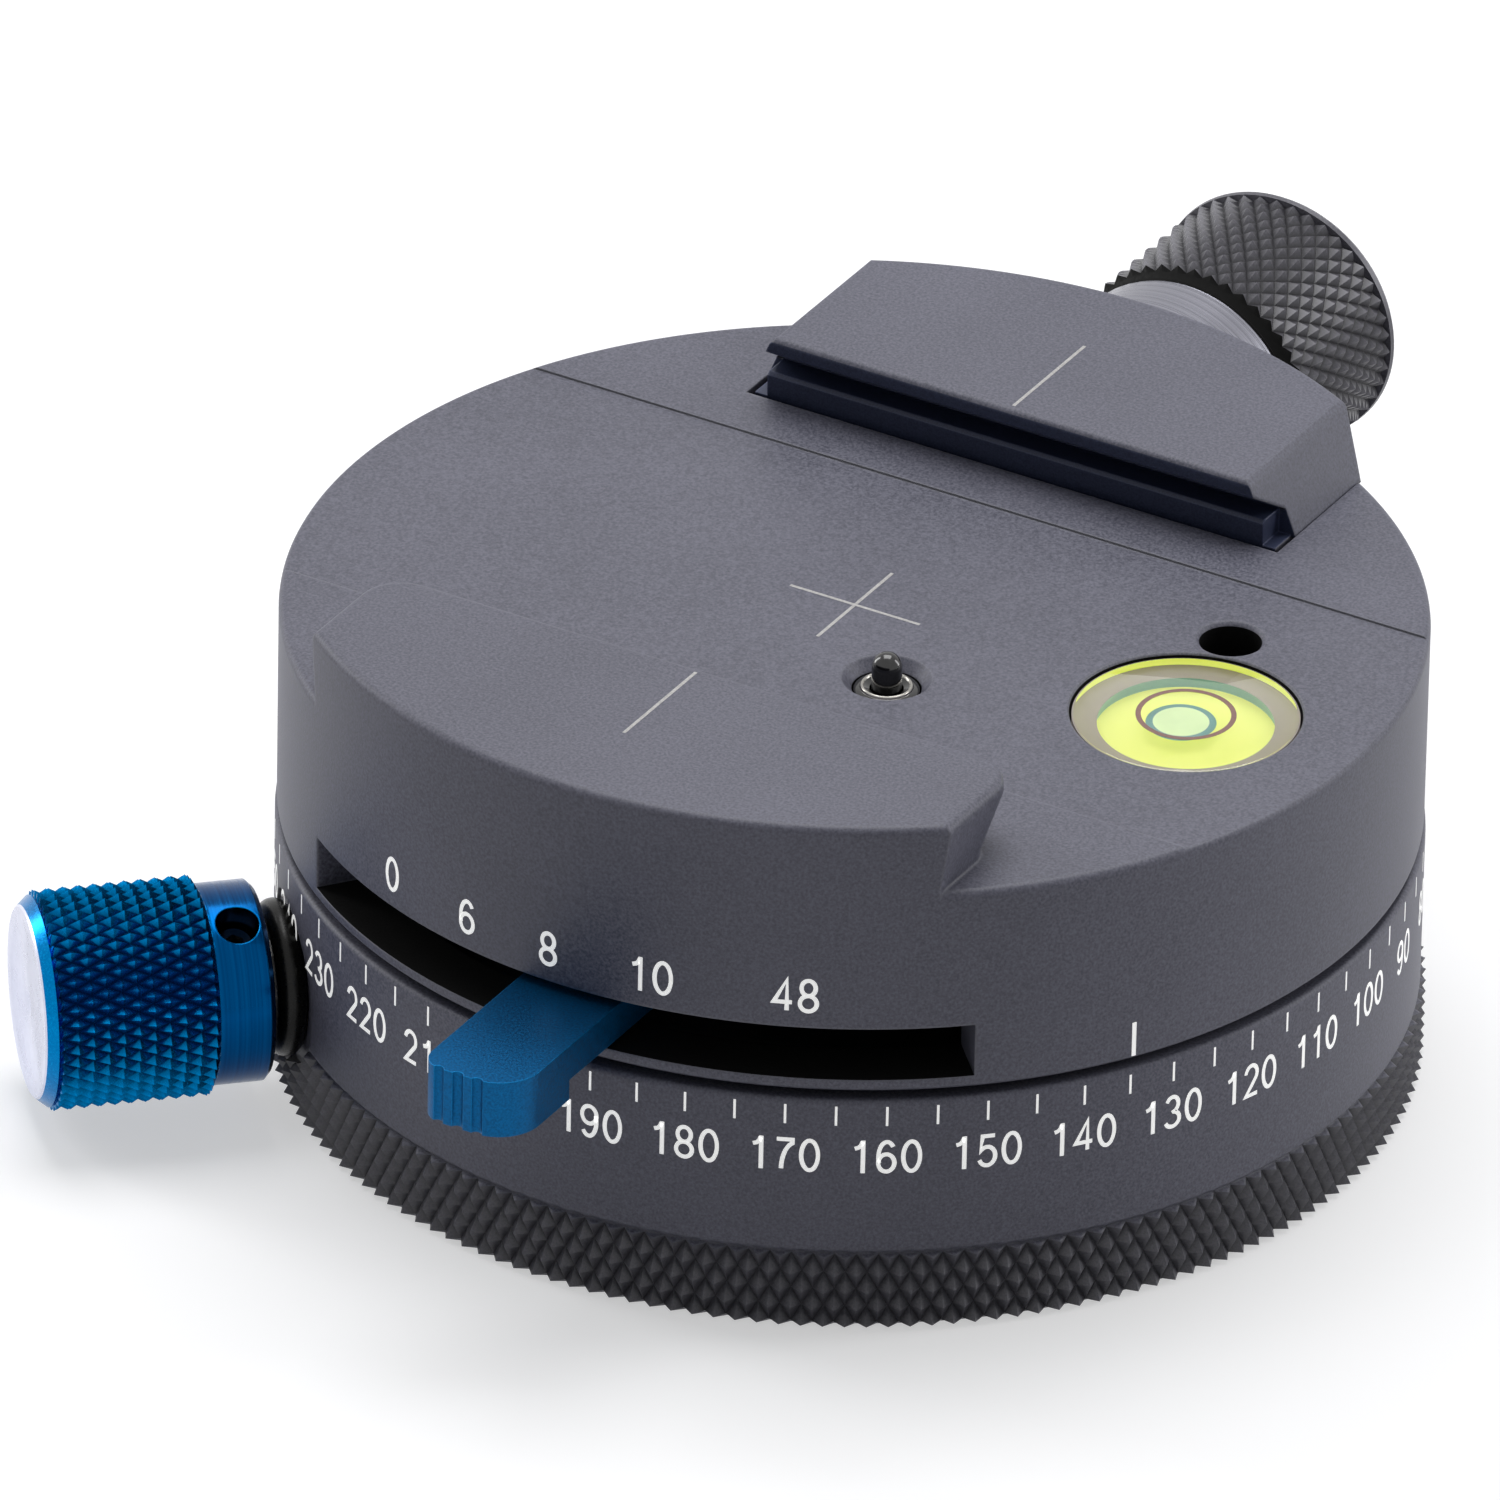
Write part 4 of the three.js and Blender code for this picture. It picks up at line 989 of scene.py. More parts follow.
def paint_faces(piece: Thing, slot: int, wanted: FaceTest) -> None:
    """Gives the wanted faces of a piece another of its materials.

    Args:
        piece: the mesh object.
        slot: number of the material slot.
        wanted: says of a face's centre in millimetres and its normal whether it is painted.
    """
    for polygon in piece.data.polygons:
        if wanted(polygon.center / MM, polygon.normal):
            polygon.material_index = slot


@dataclass(frozen=True)
class Piece:
    """A finished piece and how it sits in the assembly.

    Attributes:
        thing: the Blender object.
        body: the CAD body that it rides on.
        slot: the record's material slot; not used here.
        stands_for: CAD nodes that it replaces.
    """

    thing: Thing
    body: str
    slot: str
    stands_for: tuple[str, ...] = ()

    def join_frame(self) -> None:
        """Rides the piece on its body and hides what it stands for."""
        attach(self.thing, self.body)
        if self.stands_for:
            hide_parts(*self.stands_for)
        LOG.info("%s: %d faces on %s", self.thing.name, len(self.thing.data.polygons), self.body)


# ---------------------------------------------------------------- marks


def oval(centre: Point, reach: Point, start: float, end: float, steps: int = 16) -> list[Point]:
    """Points along an upright oval's arc, its angles in degrees anticlockwise from the right."""
    return [(centre[0] + reach[0] * across, centre[1] + reach[1] * along)
            for across, along in arc((0, 0), 1, start, end, steps)]


def offset_side(points: Outline, reach: float, closed: bool) -> list[Point]:
    """A line beside a pen line.

    Args:
        points: the pen line.
        reach: how far to its left the new line runs.
        closed: whether the pen line meets its own start.

    Returns:
        The new line's points, mitred at the corners.
    """
    count = len(points)
    side = []
    for place, point in enumerate(points):
        here = Vector(point)
        last = Vector(points[place - 1]) if closed or place > 0 else None
        after = Vector(points[(place + 1) % count]) if closed or place < count - 1 else None
        runs = [(here - last).normalized()] if last is not None else []
        runs += [(after - here).normalized()] if after is not None else []
        normals = [Vector((-run.y, run.x)) for run in runs]
        middle = sum(normals, Vector((0, 0))).normalized()
        mitre = reach / max(middle.dot(normals[0]), 0.5)
        side.append((here.x + middle.x * mitre, here.y + middle.y * mitre))
    return side


@dataclass(frozen=True)
class PenLine:
    """One stroke of a digit, in a cell one unit high."""

    points: tuple[Point, ...]
    closed: bool = False

    def outlines(self, half: float) -> list[list[Point]]:
        """The stroke's outlines at half its width.

        Args:
            half: half the stroke's width, as a share of the cell.

        Returns:
            One outline, or two for a closed stroke.
        """
        left = offset_side(self.points, half, self.closed)
        right = offset_side(self.points, -half, self.closed)
        return [right, left] if self.closed else [left + right[::-1]]


def pen(*parts: Outline, closed: bool = False) -> PenLine:
    """A stroke through several lines in turn."""
    return PenLine(tuple(point for part in parts for point in part), closed)


def ring_pen(centre: Point, reach: Point) -> PenLine:
    """A closed oval stroke."""
    return pen(oval(centre, reach, 0, 360, 32)[:-1], closed=True)


DIGITS = {
    "0": (ring_pen((0.285, 0.5), (0.225, 0.445)),),
    "1": (pen([(0.345, 0.99), (0.345, 0.01)]), pen([(0.12, 0.745), (0.22, 0.775), (0.29, 0.84), (0.33, 0.95)])),
    "2": (pen(oval((0.285, 0.69), (0.21, 0.255), 172, -32), [(0.30, 0.34), (0.085, 0.06), (0.515, 0.06)]),),
    "3": (pen(oval((0.275, 0.72), (0.19, 0.225), 158, -78), oval((0.28, 0.275), (0.225, 0.22), 80, -160)),),
    "4": (pen([(0.40, 0.05), (0.40, 0.94), (0.06, 0.29), (0.54, 0.29)]),),
    "5": (pen([(0.49, 0.94), (0.155, 0.94), (0.105, 0.50)], oval((0.285, 0.335), (0.225, 0.28), 135, -158)),),
    "6": (ring_pen((0.29, 0.315), (0.215, 0.26)), pen(oval((0.30, 0.50), (0.225, 0.445), 42, 205))),
    "7": (pen([(0.075, 0.94), (0.50, 0.94)], oval((0.60, 0.06), (0.39, 0.80), 105, 180)),),
    "8": (ring_pen((0.285, 0.725), (0.185, 0.22)), ring_pen((0.285, 0.278), (0.22, 0.223))),
    "9": (ring_pen((0.28, 0.685), (0.215, 0.26)), pen(oval((0.27, 0.50), (0.225, 0.445), 25, -138))),
}


@dataclass
class Marks:
    """White laser marks, thin plates laid on a round wall or on a flat face.

    Attributes:
        proud: how far a mark stands off its wall, in millimetres.
        thickness: the plate's thickness, in millimetres.
        stroke: width of a plain line, in millimetres.
        pen_share: width of a digit's stroke, as a share of its height.
        pitch: distance from digit to digit, as a share of the height.
        cell: width of one digit, as a share of the height.
        wall_segments: faces round the wall that marks are wrapped on.
    """

    proud: float = 0.004
    thickness: float = 0.012
    stroke: float = 0.2
    pen_share: float = 0.117
    pitch: float = 0.68
    cell: float = 0.57
    wall_segments: int = 360

    def digit(self, name: str, character: str, height: float) -> Thing:
        """One digit as a flat mesh in the XY plane, standing on the origin.

        Args:
            name: the piece's name.
            character: the digit.
            height: its height, in millimetres.

        Returns:
            The flat mesh.
        """
        strokes = [flat(f"{name}_{place}", line.outlines(self.pen_share / 2))
                   for place, line in enumerate(DIGITS[character])]
        piece = joined(name, strokes)
        piece.scale = (height, height, 1)
        settle_place(piece)
        return piece

    def number(self, name: str, text: str, height: float) -> Thing:
        """A number as a flat mesh in the XZ plane, facing -Y.

        Args:
            name: the piece's name.
            text: the digits.
            height: height of a digit, in millimetres.

        Returns:
            The flat mesh, centred on the origin.
        """
        width = ((len(text) - 1) * self.pitch + self.cell) * height
        digits = []
        for place, character in enumerate(text):
            digit = self.digit(f"{name}_digit_{place}", character, height)
            digits.append(shift(digit, (place * self.pitch * height - width / 2, -height / 2, 0)))
        return shift(joined(name, digits), (0, 0, 0), Turn.UPRIGHT.value)

    def line(self, name: str, height: float, width: float = 0.0) -> Thing:
        """A plain upright line as a flat mesh in the XZ plane, centred on the origin.

        Args:
            name: the piece's name.
            height: its height, in millimetres.
            width: its width, or 0 for that of a plain stroke.

        Returns:
            The flat mesh.
        """
        deselect_all()
        bpy.ops.mesh.primitive_grid_add(x_subdivisions=1, y_subdivisions=2, size=2)
        piece = named(name)
        piece.scale = ((width or self.stroke) / 2 * MM, height / 2 * MM, 1)
        return shift(piece, (0, 0, 0), Turn.UPRIGHT.value)

    def on_wall(self, mark: Thing, radius: float, angle: float, height: float) -> Thing:
        """Stands a flat mark against a round wall, ready to be wrapped on it."""
        return lay(mark, (*polar(radius + 1, angle), height), (0, 0, math.radians(angle + 90)))

    def wrap(self, name: str, flats: Sequence[Thing], radius: float) -> Thing:
        """Wraps flat marks on a round wall and gives them their thickness.

        Args:
            name: the finished piece's name.
            flats: the marks, standing against the wall.
            radius: the wall's radius, in millimetres.

        Returns:
            One closed mesh object.
        """
        piece = joined(name, flats)
        wall = rod("wall_to_wrap", radius, -FLOOR_HEIGHT - 5, 5, self.wall_segments)
        apply_modifier(piece, "SHRINKWRAP", target=wall, wrap_method="NEAREST_SURFACEPOINT",
                       wrap_mode="ABOVE_SURFACE", offset=self.proud * MM)
        bpy.data.objects.remove(wall)
        self.thicken(piece)
        return piece

    def thicken(self, piece: Thing) -> None:
        """Turns a flat mark into a thin closed plate.

        Args:
            piece: the flat mark.
        """
        with editing(piece):
            bpy.ops.mesh.select_all(action="SELECT")
            bpy.ops.mesh.remove_doubles(threshold=1e-7)
        apply_modifier(piece, "SOLIDIFY", thickness=self.thickness * MM, offset=1.0)
        close_up(piece)

    def stroke_on_floor(self, name: str, start: Place, end: Place) -> Thing:
        """A straight line lying on a level face.

        Args:
            name: the piece's name.
            start: one end on the face, in millimetres.
            end: the other end.

        Returns:
            A thin closed plate.
        """
        run = Vector((end[0] - start[0], end[1] - start[1])).normalized()
        side = Vector((-run.y, run.x)) * self.stroke / 2
        corners = [(place[0] + sign * side.x, place[1] + sign * side.y)
                   for place, sign in ((start, -1), (end, -1), (end, 1), (start, 1))]
        return lay(slab(name, corners, start[2], start[2] + self.thickness))


# ---------------------------------------------------------------- base


@dataclass
class SubAssembly:
    """What every sub-assembly is dressed and marked with."""

    paints: Paintbox
    marks: Marks = field(default_factory=Marks)


@dataclass
class Base(SubAssembly):
    """The standing ring with its knurled foot and its degree scale."""

    radius: float = 32.5
    top: float = 14.8
    top_round: float = 0.35
    knurl: Knurl = Knurl(start=0.3, end=4.7, root=32.22, crest=32.84, columns=336, rows=4)
    foot_radius: float = 31.9
    plate_radius: float = 26.2
    plate_thickness: float = 4.3
    cavity_radius: float = 21.2
    cavity_roof: float = 11.4
    bearing_radius: float = 7.3
    web_top: float = 13.5
    recess_radius: float = 29.2
    lock_height: float = LOCK_HEIGHT
    lock_spot_radius: float = 5.0
    lock_spot_start: float = 32.0
    lock_bore_radius: float = 3.7
    tick_low: float = 13.19
    tick_high: float = 14.42
    tick_width: float = 0.14
    tick_step: int = 5
    number_step: int = 10
    number_height: float = 2.15
    number_middle: float = 11.2
    scale_zero: float = 103.74

    def profile(self) -> list[Point]:
        """Section of the ring, from the bearing bore round the outside and back through the foot.

        Returns:
            Radius and height pairs, round the section.
        """
        return [
            (self.bearing_radius, self.cavity_roof),
            (self.cavity_radius, self.cavity_roof),
            (self.cavity_radius, self.plate_thickness),
            (self.plate_radius, self.plate_thickness),
            (self.plate_radius, 0.0),
            (self.foot_radius, 0.0),
            *self.knurl.rings(),
            (self.knurl.root, self.knurl.end + 0.12),
            (self.radius, self.knurl.end + 0.42),
            *rounded_rim(self.radius, self.top, self.top_round, 4),
            (self.recess_radius + 0.2, self.top),
            (self.recess_radius, self.top - 0.2),
            (self.recess_radius, self.web_top),
            (self.bearing_radius, self.web_top),
        ]

    def ring(self) -> Piece:
        """Turns, knurls and bores the ring.

        Returns:
            The finished ring.
        """
        ring = turned("scale_ring_turned", self.profile(), self.knurl.columns, hollow=True)
        self.knurl.press(ring)
        lay(ring)
        reach = self.radius + OVERRUN
        spot = rod("lock_spot", self.lock_spot_radius, self.lock_spot_start, reach, 64)
        bore = rod("lock_bore", self.lock_bore_radius, self.cavity_radius - OVERRUN, reach)
        for tool in (spot, bore):
            lay(tool, (0, 0, self.lock_height), LOCK_TURN)
        cut(ring, spot, bore)
        smooth(ring, 30)
        # body_blasted paints a highlight along the edges; the knurl's faces take body_knurl, whose valleys are
        # painted darker as shade
        self.paints.coat(ring, "body_blasted", "body_knurl")
        low, high = self.knurl.start - FLOOR_HEIGHT, self.knurl.end - FLOOR_HEIGHT
        paint_faces(ring, 1, lambda centre, normal: (
            low < centre.z < high and off_axis(centre) > self.knurl.root - 0.05
        ))
        return Piece(ring, "base", "body_anodised", ("scale_ring",))

    def scale(self) -> Piece:
        """Marks the ticks and numbers round the ring.

        Returns:
            All the marks as one piece.
        """
        flats = []
        tick = self.marks.line("tick", self.tick_high - self.tick_low, self.tick_width)
        middle = (self.tick_high + self.tick_low) / 2
        for degree in range(0, 360, self.tick_step):
            twin = copy_of(tick, f"tick_{degree}")
            flats.append(self.marks.on_wall(twin, self.radius, self.scale_zero - degree, middle))
        bpy.data.objects.remove(tick)
        for degree in range(0, 360, self.number_step):
            number = self.marks.number(f"number_{degree}", str(degree), self.number_height)
            flats.append(self.marks.on_wall(number, self.radius, self.scale_zero - degree, self.number_middle))
        scale = self.marks.wrap("degree_scale", flats, self.radius)
        # laser_mark gives off a little painted light
        self.paints.coat(scale, "laser_mark")
        return Piece(scale, "base", "body_anodised")

    def build(self) -> list[Piece]:
        """Builds the ring and its scale."""
        return [self.ring(), self.scale()]


# ---------------------------------------------------------------- rotor


@dataclass
class Rotor(SubAssembly):
    """The turning housing with its fixed jaw, its slot and its marks."""

    radius: float = 32.4
    bottom: float = 15.3
    deck_bottom: float = 19.5
    floor: float = 27.94
    channel_step: float = 0.12
    crease_reach: float = 13.7
    rim_round: float = 0.5
    jaw_top: float = JAW_TOP
    jaw_lip: float = JAW_LIP
    jaw_half_length: float = 20.5
    jaw_corner: float = 2.6
    lip_depth: float = LIP_DEPTH
    undercut: float = 2.0
    end_undercut: float = 0.35
    slope_foot: float = 0.45
    slot_bottom: float = 16.1
    slot_top: float = 19.35
    slot_first: float = -127.4
    slot_last: float = -47.7
    chamber_inner: float = 8.6
    chamber_outer: float = 29.0
    chamber_first: float = -205.0
    chamber_last: float = 25.0
    pocket_front: float = 17.6
    pocket_half_width: float = 17.35
    pocket_floor: float = 18.6
    axis_height: float = CLAMP_HEIGHT
    level_place: Point = LEVEL_PLACE
    level_pocket: Outline = ((6.55, 22.6), (6.55, 27.7), (6.7, 27.86), (6.7, 29.0))
    pin_place: Point = PIN_PLACE
    pin_bore: Outline = ((1.97, 20.6), (1.97, 27.12), (2.6, 27.86), (2.6, 29.0))
    hole_place: Point = (19.8, 7.9)
    blind_hole: Outline = ((1.78, 20.9), (1.78, 27.6), (2.04, 27.86), (2.04, 29.0))
    shaft_bore: Bore = Bore(5.6, 14.3, 22.5)
    pivot_bore: Bore = Bore(1.6, 14.3, 24.0)
    nut_bore: Bore = Bore(3.0, 8.6, 34.4)
    guide_bore: Bore = Bore(1.6, 10.9, 34.4)
    guide_offset: float = GUIDE_OFFSET
    knob_relief: Bore = Bore(8.4, 31.0, 34.4, 96)
    pivot_reach: float = PIVOT_REACH
    detent_swing: float = 11.99
    detent_half_width: float = 3.5
    detent_first: float = 142.1
    detent_last: float = 225.3
    detent_roof: float = 22.4
    setting_height: float = 2.2
    setting_middle: float = 21.4
    settings: tuple[tuple[str, float], ...] = (
        ("0", -112.2), ("6", -101.3), ("8", -91.3), ("10", -80.1), ("48", -65.5),
    )
    index_angle: float = -30.9
    index_low: float = 15.55
    index_high: float = 17.7
    index_width: float = 0.28
    cross_reach: float = 4.2
    jaw_line: Point = (-25.7, -17.8)

    def drum(self) -> Thing:
        """The plain drum, with a shallow channel between the two creases.

        Returns:
            The closed mesh, with heights from the foot.
        """
        foot = 0.25
        drum = turned("rotor_turned", [
            (self.radius - foot, self.bottom), (self.radius, self.bottom + foot),
            *rounded_rim(self.radius, self.floor, self.rim_round),
        ], DRUM_SEGMENTS)
        reach = self.radius + OVERRUN
        channel = block("channel", (-reach, -self.crease_reach, self.floor - self.channel_step),
                        (reach, self.crease_reach, self.floor + OVERRUN))
        cut(drum, channel)
        return drum

    def fixed_jaw(self) -> Thing:
        """The fixed jaw: rounded in plan, undercut at its lip and trimmed to the drum.

        Returns:
            The closed mesh, with heights from the foot.
        """
        reach = self.radius + OVERRUN
        half, corner = self.jaw_half_length, self.jaw_corner
        outline = [
            (-half, -reach), (half, -reach),
            *arc((half - corner, -self.jaw_lip - corner), corner, 0, 90, 12),
            *arc((corner - half, -self.jaw_lip - corner), corner, 90, 180, 12),
        ]
        top = self.jaw_top
        lip_foot = top - self.lip_depth
        jaw = slab("fixed_jaw", outline, lip_foot, top)
        pick_edges(jaw, lambda a, b: min(a.z, b.z) > top - NEAR and max(a.y, b.y) > OVERRUN - reach)
        with editing(jaw):
            bpy.ops.mesh.bevel(offset=0.5 * MM, segments=4, profile=0.5, affect="EDGES")
        self.undercut_below(jaw, lip_foot, reach)
        rim = rounded_rim(self.radius, top, self.rim_round)
        combine(jaw, turned("outside", [(self.radius, self.bottom), *rim], DRUM_SEGMENTS), "INTERSECT")
        return jaw

    def undercut_below(self, jaw: Thing, lip_foot: float, reach: float) -> None:
        """Draws the jaw's underside down and inwards to its foot, and on into the drum.

        Args:
            jaw: the jaw's upper slab.
            lip_foot: height of the slab's underside.
            reach: depth of the slab's back, in millimetres.
        """
        pick_vertices(jaw, lambda place: False)
        for polygon in jaw.data.polygons:
            polygon.select = polygon.normal.z < -0.9 and polygon.center.z < (lip_foot + NEAR) * MM
        slope_foot = self.floor + self.slope_foot
        narrow = (self.jaw_half_length - self.end_undercut) / self.jaw_half_length
        shallow = (reach - self.jaw_lip - self.undercut) / (reach - self.jaw_lip)
        with editing(jaw):
            bpy.ops.mesh.select_mode(type="FACE")
            bpy.ops.mesh.extrude_region_move(TRANSFORM_OT_translate={"value": (0, 0, (slope_foot - lip_foot) * MM)})
            bpy.ops.transform.resize(value=(narrow, shallow, 1), center_override=(0, -reach * MM, 0))
            bpy.ops.mesh.extrude_region_move(TRANSFORM_OT_translate={"value": (0, 0, (-1 - self.slope_foot) * MM)})
            bpy.ops.mesh.select_mode(type="VERT")
        close_up(jaw)

    def sector(self, inner: float, outer: float, first: float, last: float) -> list[Point]:
        """Outline of a ring's sector, between two angles in degrees."""
        steps = 40
        return [*arc((0, 0), outer, first, last, steps), *arc((0, 0), inner, last, first, steps)]

    def detent_outline(self) -> list[Point]:
        """Outline, about the lever's pivot, of the arc that the detent boss sweeps, with its round ends.

        Returns:
            The closed outline's points.
        """
        first, last, swing, wide = self.detent_first, self.detent_last, self.detent_swing, self.detent_half_width
        return [
            *arc((0, 0), swing + wide, first, last, 24),
            *arc(polar(swing, last), wide, last, last + 180, 12)[1:-1],
            *arc((0, 0), swing - wide, last, first, 24),
            *arc(polar(swing, first), wide, first + 180, first + 360, 12)[1:-1],
        ]

    def chambers(self) -> list[Thing]:
        """What is cut from below: the lever's chamber and slot, the detent's room and two bores.

        Returns:
            The cutting tools.
        """
        under = self.bottom - 1
        reach = self.radius + OVERRUN
        room = self.sector(self.chamber_inner, self.chamber_outer, self.chamber_first, self.chamber_last)
        window = self.sector(self.chamber_outer - OVERRUN, reach, self.slot_first, self.slot_last)
        detent = slab("detent_room", self.detent_outline(), under, self.detent_roof)
        for vertex in detent.data.vertices:
            vertex.co.y -= self.pivot_reach * MM
        pivot = self.pivot_bore.tool("pivot_bore")
        return [
            slab("chamber", room, under, self.deck_bottom),
            slab("slot", window, self.slot_bottom, self.slot_top),
            detent,
            self.shaft_bore.tool("shaft_bore"),
            shift(pivot, (0, -self.pivot_reach, 0)),
        ]

    def pockets(self) -> list[Thing]:
        """What is cut for the moving jaw, its screw and pins, and for the three round fittings.

        Returns:
            The cutting tools.
        """
        reach = self.radius + OVERRUN
        tools = [block("jaw_pocket", (-self.pocket_half_width, self.pocket_front, self.pocket_floor),
                       (self.pocket_half_width, reach, self.floor + OVERRUN))]
        for name, bore, across in (
            ("nut_bore", self.nut_bore, 0),
            ("guide_bore_-1", self.guide_bore, -self.guide_offset),
            ("guide_bore_1", self.guide_bore, self.guide_offset),
            ("knob_relief", self.knob_relief, 0),
        ):
            tools.append(shift(bore.tool(name), (across, 0, self.axis_height), Turn.ALONG_Y.value))
        for name, profile, place, segments in (
            ("level_pocket", self.level_pocket, self.level_place, 96),
            ("pin_bore", self.pin_bore, self.pin_place, 64),
            ("blind_hole", self.blind_hole, self.hole_place, 64),
        ):
            tools.append(shift(turned(name, profile, segments), (*place, 0)))
        return tools

    def housing(self) -> Piece:
        """Joins drum and jaw, and cuts the chamber, slot, pockets and bores.

        Returns:
            The finished housing.
        """
        body = self.drum()
        cut(body, *self.chambers())
        cut(body, *self.pockets())
        combine(body, self.fixed_jaw(), "UNION")
        body.name = "rotor_housing_turned"
        lay(body)
        close_up(body)
        smooth(body, 28)
        keep_flats(body)
        # body_blasted paints a highlight along the edges; near-black shade is painted into the chamber, the slot and
        # the walls of the round fittings
        self.paints.coat(body, "body_blasted", "painted_shade_black")
        paint_faces(body, 1, self.is_dark)
        return Piece(body, "rotor", "body_anodised", ("rotor_housing",))

    def is_dark(self, centre: Vector, normal: Vector) -> bool:
        """Whether a face lies in the chamber, in the slot or on the wall of a round fitting, where shade is painted
        near-black.

        Args:
            centre: the face's centre, in millimetres.
            normal: its normal.

        Returns:
            True where the painted near-black shade goes.
        """
        low, high = self.slot_bottom - FLOOR_HEIGHT, self.deck_bottom - FLOOR_HEIGHT
        reach = off_axis(centre)
        in_chamber = centre.z < high + NEAR and reach < self.chamber_outer + 0.05
        in_slot = low - 0.3 < centre.z < high + 0.2 and reach < self.radius - 0.3 and abs(normal.z) > 0.9
        in_hole = centre.z < -0.3 and abs(normal.z) < 0.5 and any(
            off_axis(centre, place) < radius
            for place, radius in ((self.level_place, 6.6), (self.hole_place, 1.85), (self.pin_place, 2.0))
        )
        return in_chamber or in_slot or in_hole

    def wall_marks(self) -> Piece:
        """Marks the selector's settings and the index line on the wall.

        Returns:
            All the marks as one piece.
        """
        flats = []
        for text, angle in self.settings:
            number = self.marks.number(f"setting_{text}", text, self.setting_height)
            flats.append(self.marks.on_wall(number, self.radius, angle, self.setting_middle))
        line = self.marks.line("index", self.index_high - self.index_low, self.index_width)
        middle = (self.index_high + self.index_low) / 2
        flats.append(self.marks.on_wall(line, self.radius, self.index_angle, middle))
        marks = self.marks.wrap("setting_marks", flats, self.radius)
        # laser_mark gives off a little painted light
        self.paints.coat(marks, "laser_mark")
        return Piece(marks, "rotor", "body_anodised")

    def floor_marks(self) -> Piece:
        """Marks the cross on the floor and the centre line on the fixed jaw.

        Returns:
            All the marks as one piece.
        """
        floor, top, reach = self.floor - self.channel_step, self.jaw_top, self.cross_reach
        over = floor + 0.002
        back, front = self.jaw_line
        strokes = [
            self.marks.stroke_on_floor("cross_a", (-reach, 0, floor), (reach, 0, floor)),
            self.marks.stroke_on_floor("cross_b", (0, -reach, over), (0, reach, over)),
            self.marks.stroke_on_floor("jaw_line", (0, back, top), (0, front, top)),
        ]
        marks = joined("centre_marks", strokes)
        self.paints.coat(marks, "laser_mark_soft")
        return Piece(marks, "rotor", "body_anodised")

    def build(self) -> list[Piece]:
        """Builds the housing and its marks."""
        return [self.housing(), self.wall_marks(), self.floor_marks()]


# ---------------------------------------------------------------- selector lever


@dataclass
class SelectorLever(SubAssembly):
    """The blue selector: a finger through the slot, grooved at its tip."""

    pivot_reach: float = PIVOT_REACH
    left: float = -2.75
    right: float = 3.45
    top: float = 18.8
    bottom: float = 16.6
    tip_bottom: float = 15.32
    step_radius: float = 37.0
    tip_radius: float = 42.9
    left_corner: float = 1.4
    right_corner: float = 2.6
    groove_radius: float = 0.36
    groove_depth: float = 0.46
    grooves: tuple[float, float, float] = (-1.5, -0.25, 1.0)
    eye_radius: float = 4.2
    arm_length: float = 12.0
    arm_half_width: float = 2.0
    boss: Bore = Bore(2.9, 15.9, 22.2)
    pivot_hole: Bore = Bore(2.1, 15.6, 19.8)
    plunger_hole: Bore = Bore(1.5, 15.0, 23.0)

    def build(self) -> list[Piece]:
        """Builds the finger, grip, eye, arm and detent boss as one piece.

        Returns:
            The lever, as the only piece.
        """
        left, right, tip = self.left, self.right, -self.tip_radius
        end = [
            *arc((left + self.left_corner, tip + self.left_corner), self.left_corner, 180, 270, 12),
            *arc((right - self.right_corner, tip + self.right_corner), self.right_corner, 270, 360, 16),
        ]
        lever = slab("selector_lever_milled", [(right, -self.pivot_reach), (left, -self.pivot_reach), *end],
                     self.bottom, self.top)
        grip = slab("grip", [(right, -self.step_radius), (left, -self.step_radius), *end],
                    self.tip_bottom, self.bottom + 0.2)
        combine(lever, grip, "UNION")
        for place, across in enumerate(self.grooves):
            groove = rod(f"groove_{place}", self.groove_radius, self.tip_bottom - 1, self.top + 1, 20)
            cut(lever, shift(groove, (across, tip + self.groove_radius - self.groove_depth, 0)))
        pivot, detent = (0, -self.pivot_reach, 0), (-self.arm_length, -self.pivot_reach, 0)
        eye = rod("eye", self.eye_radius, self.bottom, self.top, 64)
        arm = block("arm", (-self.arm_length, -self.pivot_reach - self.arm_half_width, self.bottom),
                    (0, -self.pivot_reach + self.arm_half_width, self.top))
        for part in (shift(eye, pivot), arm, shift(self.boss.tool("boss"), detent)):
            combine(lever, part, "UNION")
        cut(lever, shift(self.pivot_hole.tool("pivot_hole"), pivot),
            shift(self.plunger_hole.tool("plunger_hole"), detent))
        reach = -self.step_radius + 8
        pick_edges(lever, lambda a, b: (
            min(a.z, b.z) > self.top - NEAR and max(a.y, b.y) < reach and abs(a.y - b.y) + abs(a.x - b.x) > 0.02
        ))
        with editing(lever):
            bpy.ops.mesh.bevel(offset=0.16 * MM, segments=3, profile=0.5, affect="EDGES", clamp_overlap=True)
        lay(lever)
        close_up(lever)
        smooth(lever, 30)
        keep_flats(lever)
        # lever_blue paints a blue highlight along the edges
        self.paints.coat(lever, "lever_blue")
        return [Piece(lever, "lever", "blue_anodised", ("selector_lever",))]


# ---------------------------------------------------------------- pan lock


